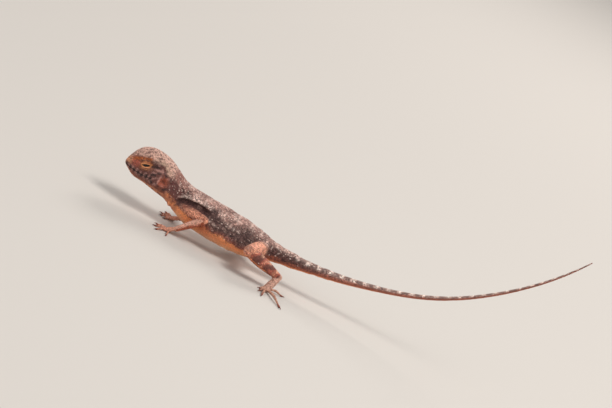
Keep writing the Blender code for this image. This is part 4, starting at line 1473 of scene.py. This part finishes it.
def scaleTints(rows):
    # the markings at each root, and the scattered pale and dark scales of the coat
    points = rows[:, :3]
    count = len(points)
    place = placeOf(points)
    draw = np.random.default_rng(scaleSettings["seed"])
    level, along, onBody = place["level"], place["along"], 1 - place["limb"]
    under = smoothStep(0.36, 0.25, level) * onBody
    shade = draw.normal(1.0, 0.19, count)
    onSide = smoothStep(0.32, 0.5, level) * smoothStep(0.97, 0.85, level) * onBody * (along > 30)
    colours = markings(points)
    colours *= np.clip(1 + (shade - 1) * (1 - 0.6 * under + onSide), 0.4, 1.9)[:, None]
    onBack = smoothStep(0.5, 0.8, level - 0.2 * place["tail"]) * onBody
    clusters = smoothStep(-0.1, 1.0, cloud(points, 3.0, 41))
    chance = smoothStep(19, 28, along) * (0.02 + 0.05 * onBack + 0.2 * onBack * clusters) * (1 - under)
    # no pale scales in the painted shade under the fold
    underFold = smoothStep(-0.3, 0.3, foldAt(along) - points[:, 2]) * smoothStep(49, 46, along)
    chance *= (1 - 0.9 * place["limb"]) * (1 - underFold) * (1 - 0.8 * (place["share"] > 0.1))
    chosen = draw.random(count) < chance
    pale = np.maximum(chosen * draw.uniform(0.3, 0.8, count), rows[:, 12])
    for middle, high, reach, tall in paleMarks:
        mark = bell(along, middle, reach) * bell(level, high, tall) * onBody
        pale = np.maximum(pale, mark * draw.uniform(0.5, 1.0, count))
    colours = toward(colours, "backPale", pale)
    dark = (draw.random(count) < 0.16 * (1 - under)) * 0.6
    return toward(colours, "backDark", dark * (1 - 0.4 * place["limb"]))


scaleTree = coatTree()


def growCoat(coat, shape):
    rows = np.array(coat.rows)
    seeds = bpy.data.meshes.new(coat.name + "Seeds")
    seeds.vertices.add(len(rows))
    seeds.vertices.foreach_set("co", toFrame(rows[:, :3]).ravel())
    roots = np.pad(bakePlaces(placeOf(rows[:, :3]))[0], ((0, 0), (0, 1)))
    spread = rows[:, [10, 9, 11]] * mm
    vectors = {"normalWay": rows[:, 3:6], "lieWay": rows[:, 6:9], "spread": spread, "rootUv": roots}
    for name, values in vectors.items():
        layer = seeds.attributes.new(name, "FLOAT_VECTOR", "POINT")
        layer.data.foreach_set("vector", values.astype(np.float32).ravel())
    setColour(seeds, "tint", scaleTints(rows))
    source = newObject(coat.name + "Seeds", seeds)
    grow = source.modifiers.new("Scales", "NODES")
    grow.node_group = scaleTree
    jitter, seed = scaleSettings["sizeJitter"], scaleSettings["seed"]
    setInputs(grow, {"Scale Shape": shape, "Size Jitter": jitter, "Seed": seed, "Surface": scaleMaterial})
    mesh = appliedMesh(source)
    bpy.data.objects.remove(source)
    mesh.name = coat.name
    addBakeMap(mesh)
    mesh.shade_smooth()
    piece = newObject(coat.name, mesh)
    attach(piece, "root")
    print(coat.name, sum(len(p.vertices) - 2 for p in mesh.polygons), "triangles")
    return piece


def addBakeMap(mesh):
    # each scale is a small patch at its root's place on the unwrapped body
    root = readArray(mesh.attributes["rootUv"].data, "vector", 3, np.float32)[:, :2]
    local = readArray(mesh.attributes["patch"].data, "vector", 3, np.float32)[:, :2]
    corners = readArray(mesh.loops, "vertex_index", kind=int)
    writeBakeMap(mesh, (root + local * scaleSettings["patch"])[corners])
    for name in ("rootUv", "patch"):
        mesh.attributes.remove(mesh.attributes[name])


for coat in allCoats:
    growCoat(coat, roundScale if coat is headCoat else keeledScale)
for helper in (keeledScale, roundScale):
    bpy.data.objects.remove(helper)


# eyes, the edges of the lids, nostrils and claws
def bridge(tools, one, two, turned=False):
    # faces between two rings of points
    for k in range(len(one)):
        after = (k + 1) % len(one)
        corners = (one[k], one[after], two[after], two[k])
        tools.faces.new(corners[::-1] if turned else corners)


def tubeMesh(name, paths, sides=8):
    # closed tubes with rounded ends: each path is a list of (point, radius), or a ring when closed
    tools = bmesh.new()
    for points, radii, closed in paths:
        points = [Vector(p) for p in points]
        count = len(points)
        loops = []
        across = None
        for k, (point, radius) in enumerate(zip(points, radii)):
            ahead = points[(k + 1) % count if closed else min(k + 1, count - 1)]
            behind = points[(k - 1) % count if closed else max(k - 1, 0)]
            axis = (ahead - behind).normalized()
            if across is None:
                across = axis.orthogonal()
            across = (across - axis * across.dot(axis)).normalized()
            up = axis.cross(across)
            loop = []
            for j in range(sides):
                angle = math.tau * j / sides
                place = point + across * radius * math.cos(angle) + up * radius * math.sin(angle)
                loop.append(tools.verts.new(toFrame(place)))
            loops.append(loop)
        pairs = list(zip(loops, loops[1:]))
        if closed:
            pairs.append((loops[-1], loops[0]))
        for one, two in pairs:
            bridge(tools, one, two)
        if not closed:
            tools.faces.new(loops[0][::-1])
            tools.faces.new(loops[-1])
    bmesh.ops.recalc_face_normals(tools, faces=tools.faces[:])
    return meshFrom(tools, name)


def addPiece(name, mesh, material, slot, *nodes):
    mesh.materials.append(material)
    piece = newObject(name, mesh)
    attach(piece, "root")
    if nodes:
        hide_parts(*nodes)
    return piece


def painted(mesh, shade=1.0):
    setColour(mesh, "tint", markings(toSnout(meshArrays(mesh)[0])) * shade)
    return mesh


def makeEye(side, word):
    tools = bmesh.new()
    bmesh.ops.create_uvsphere(tools, u_segments=48, v_segments=32, radius=head["eyeRadius"] * 1.05 * mm)
    bmesh.ops.rotate(tools, verts=tools.verts[:], matrix=Matrix.Rotation(math.pi / 2, 3, "X"))
    bmesh.ops.translate(tools, verts=tools.verts[:], vec=Vector(toFrame(eyeMiddle(side))))
    return meshFrom(tools, word + "Eyeball")


def lidsMesh():
    # both eyes' lids as thin skin drawn over the ball, from the slit out under the scales
    tools = bmesh.new()
    for side in (-1, 1):
        loops = []
        for share in np.linspace(0, 1, lidSettings["rings"]):
            loops.append([tools.verts.new(toFrame(p)) for p in lidRing(side, share)])
        for one, two in zip(loops, loops[1:]):
            bridge(tools, one, two, turned=side < 0)
    return painted(meshFrom(tools, "lids"))


def lidEdge(side):
    # the almond edge of both lids, thin at the corners of the eye
    points = lidRing(side, 0)
    radii = [0.05 + 0.07 * abs(math.sin(math.tau * k / len(points))) ** 0.8 for k in range(len(points))]
    return points, radii, True


eyeFinish = eyeMaterial()
for side, word in ((-1, "left"), (1, "right")):
    addPiece(word + "Eyeball", makeEye(side, word), eyeFinish, "eye", "eye_" + word)
addPiece("lids", lidsMesh(), skinMaterial, "lid")
addPiece("lidEdges", tubeMesh("lidEdges", [lidEdge(-1), lidEdge(1)], 10), grainMaterial("lidEdge"), "lid")


def clawPaths():
    paths = []
    for name in limbs:
        for kind, path, _ in limbParts(name):
            if not kind.startswith("claw"):
                continue
            start, end = path
            run = end - start
            points, radii = [], []
            for share in (-0.3, -0.1, 0.15, 0.4, 0.65, 0.85, 0.97):
                forward = max(share, 0)
                place = start + run * (1, 1, 0) * share
                place[2] = start[2] - (start[2] - 0.13) * forward**2 + 0.22 * math.sin(math.pi * forward)
                points.append(place)
                radii.append(0.27 * (1 - forward**1.2) + 0.04)
            paths.append((points, radii, False))
    return paths


addPiece("claws", tubeMesh("claws", clawPaths(), 10), grainMaterial("darkClaw"), "limb_hide")


def nostrilRings():
    paths = []
    for side in (-1, 1):
        x, _, z = head["nostril"]
        hit, normal = outside((x, 0, z), side)
        across = normal.orthogonal().normalized()
        up = normal.cross(across)
        points, radii = [], []
        for k in range(16):
            angle = math.tau * k / 16
            points.append(hit + normal * 0.05 + (across * math.cos(angle) + up * math.sin(angle)) * 0.31)
            radii.append(0.1)
        paths.append((points, radii, True))
    return paths


addPiece("nostrilRims", painted(tubeMesh("nostrilRims", nostrilRings()), 0.9), skinMaterial, "hide")
print("eyes, claws and nostrils made")


# camera, floor and light
view = {
    "elevation": 15.0,  # the camera looks down this much
    "roll": 28.6,  # and is turned this much, as the rock slopes in the photo
    "aim": (83.0, 0.0, 40.7),
    "distance": 1.173,
    "lens": 150.0,
}


def makeCamera():
    elevation, roll = math.radians(view["elevation"]), math.radians(view["roll"])
    up = Vector((0, math.sin(elevation), math.cos(elevation)))
    back = Vector((0, -math.cos(elevation), math.sin(elevation)))
    right = Vector((1, 0, 0)) * math.cos(roll) + up * math.sin(roll)
    cameraUp = up * math.cos(roll) - Vector((1, 0, 0)) * math.sin(roll)
    camera = bpy.data.cameras.new("camera")
    camera.lens = view["lens"]
    camera.sensor_width = 36
    camera.clip_start = 0.01
    obj = newObject("camera", camera)
    turn = Matrix((right, cameraUp, back)).transposed().to_4x4()
    obj.matrix_world = Matrix.Translation(Vector(toFrame(view["aim"])) + back * view["distance"]) @ turn
    bpy.context.scene.camera = obj


def makeFloor():
    tools = bmesh.new()
    bmesh.ops.create_grid(tools, x_segments=1, y_segments=1, size=6)
    mesh = meshFrom(tools, "floor")
    material, _, shader = nodeMaterial("paleFloor")
    setValues(shader, {"Base Color": (0.62, 0.59, 0.56, 1), "Roughness": 0.9})
    mesh.materials.append(material)
    newObject("floor", mesh)


def areaLight(name, place, size, power, colour=(1, 1, 1)):
    lamp = bpy.data.lights.new(name, "AREA")
    lamp.size, lamp.energy, lamp.color = size, power, colour
    obj = newObject(name, lamp)
    obj.location = place
    obj.rotation_euler = (Vector((0, 0, 0.02)) - Vector(place)).to_track_quat("-Z", "Y").to_euler()


def makeWorld():
    world = bpy.data.worlds.new("studio")
    world.use_nodes = True
    background = world.node_tree.nodes["Background"]
    background.inputs["Color"].default_value = (0.95, 0.93, 0.9, 1)
    background.inputs["Strength"].default_value = 0.4
    bpy.context.scene.world = world


makeCamera()
makeFloor()
makeWorld()
areaLight("keyLight", (0.5, -0.35, 1.2), 0.5, 11, (1, 0.96, 0.91))
areaLight("fillLight", (-0.9, -1.1, 0.7), 0.9, 5)
areaLight("rimLight", (0.3, 1.1, 0.9), 0.6, 8, (1, 0.95, 0.9))
bpy.context.scene.view_settings.view_transform = "Standard"
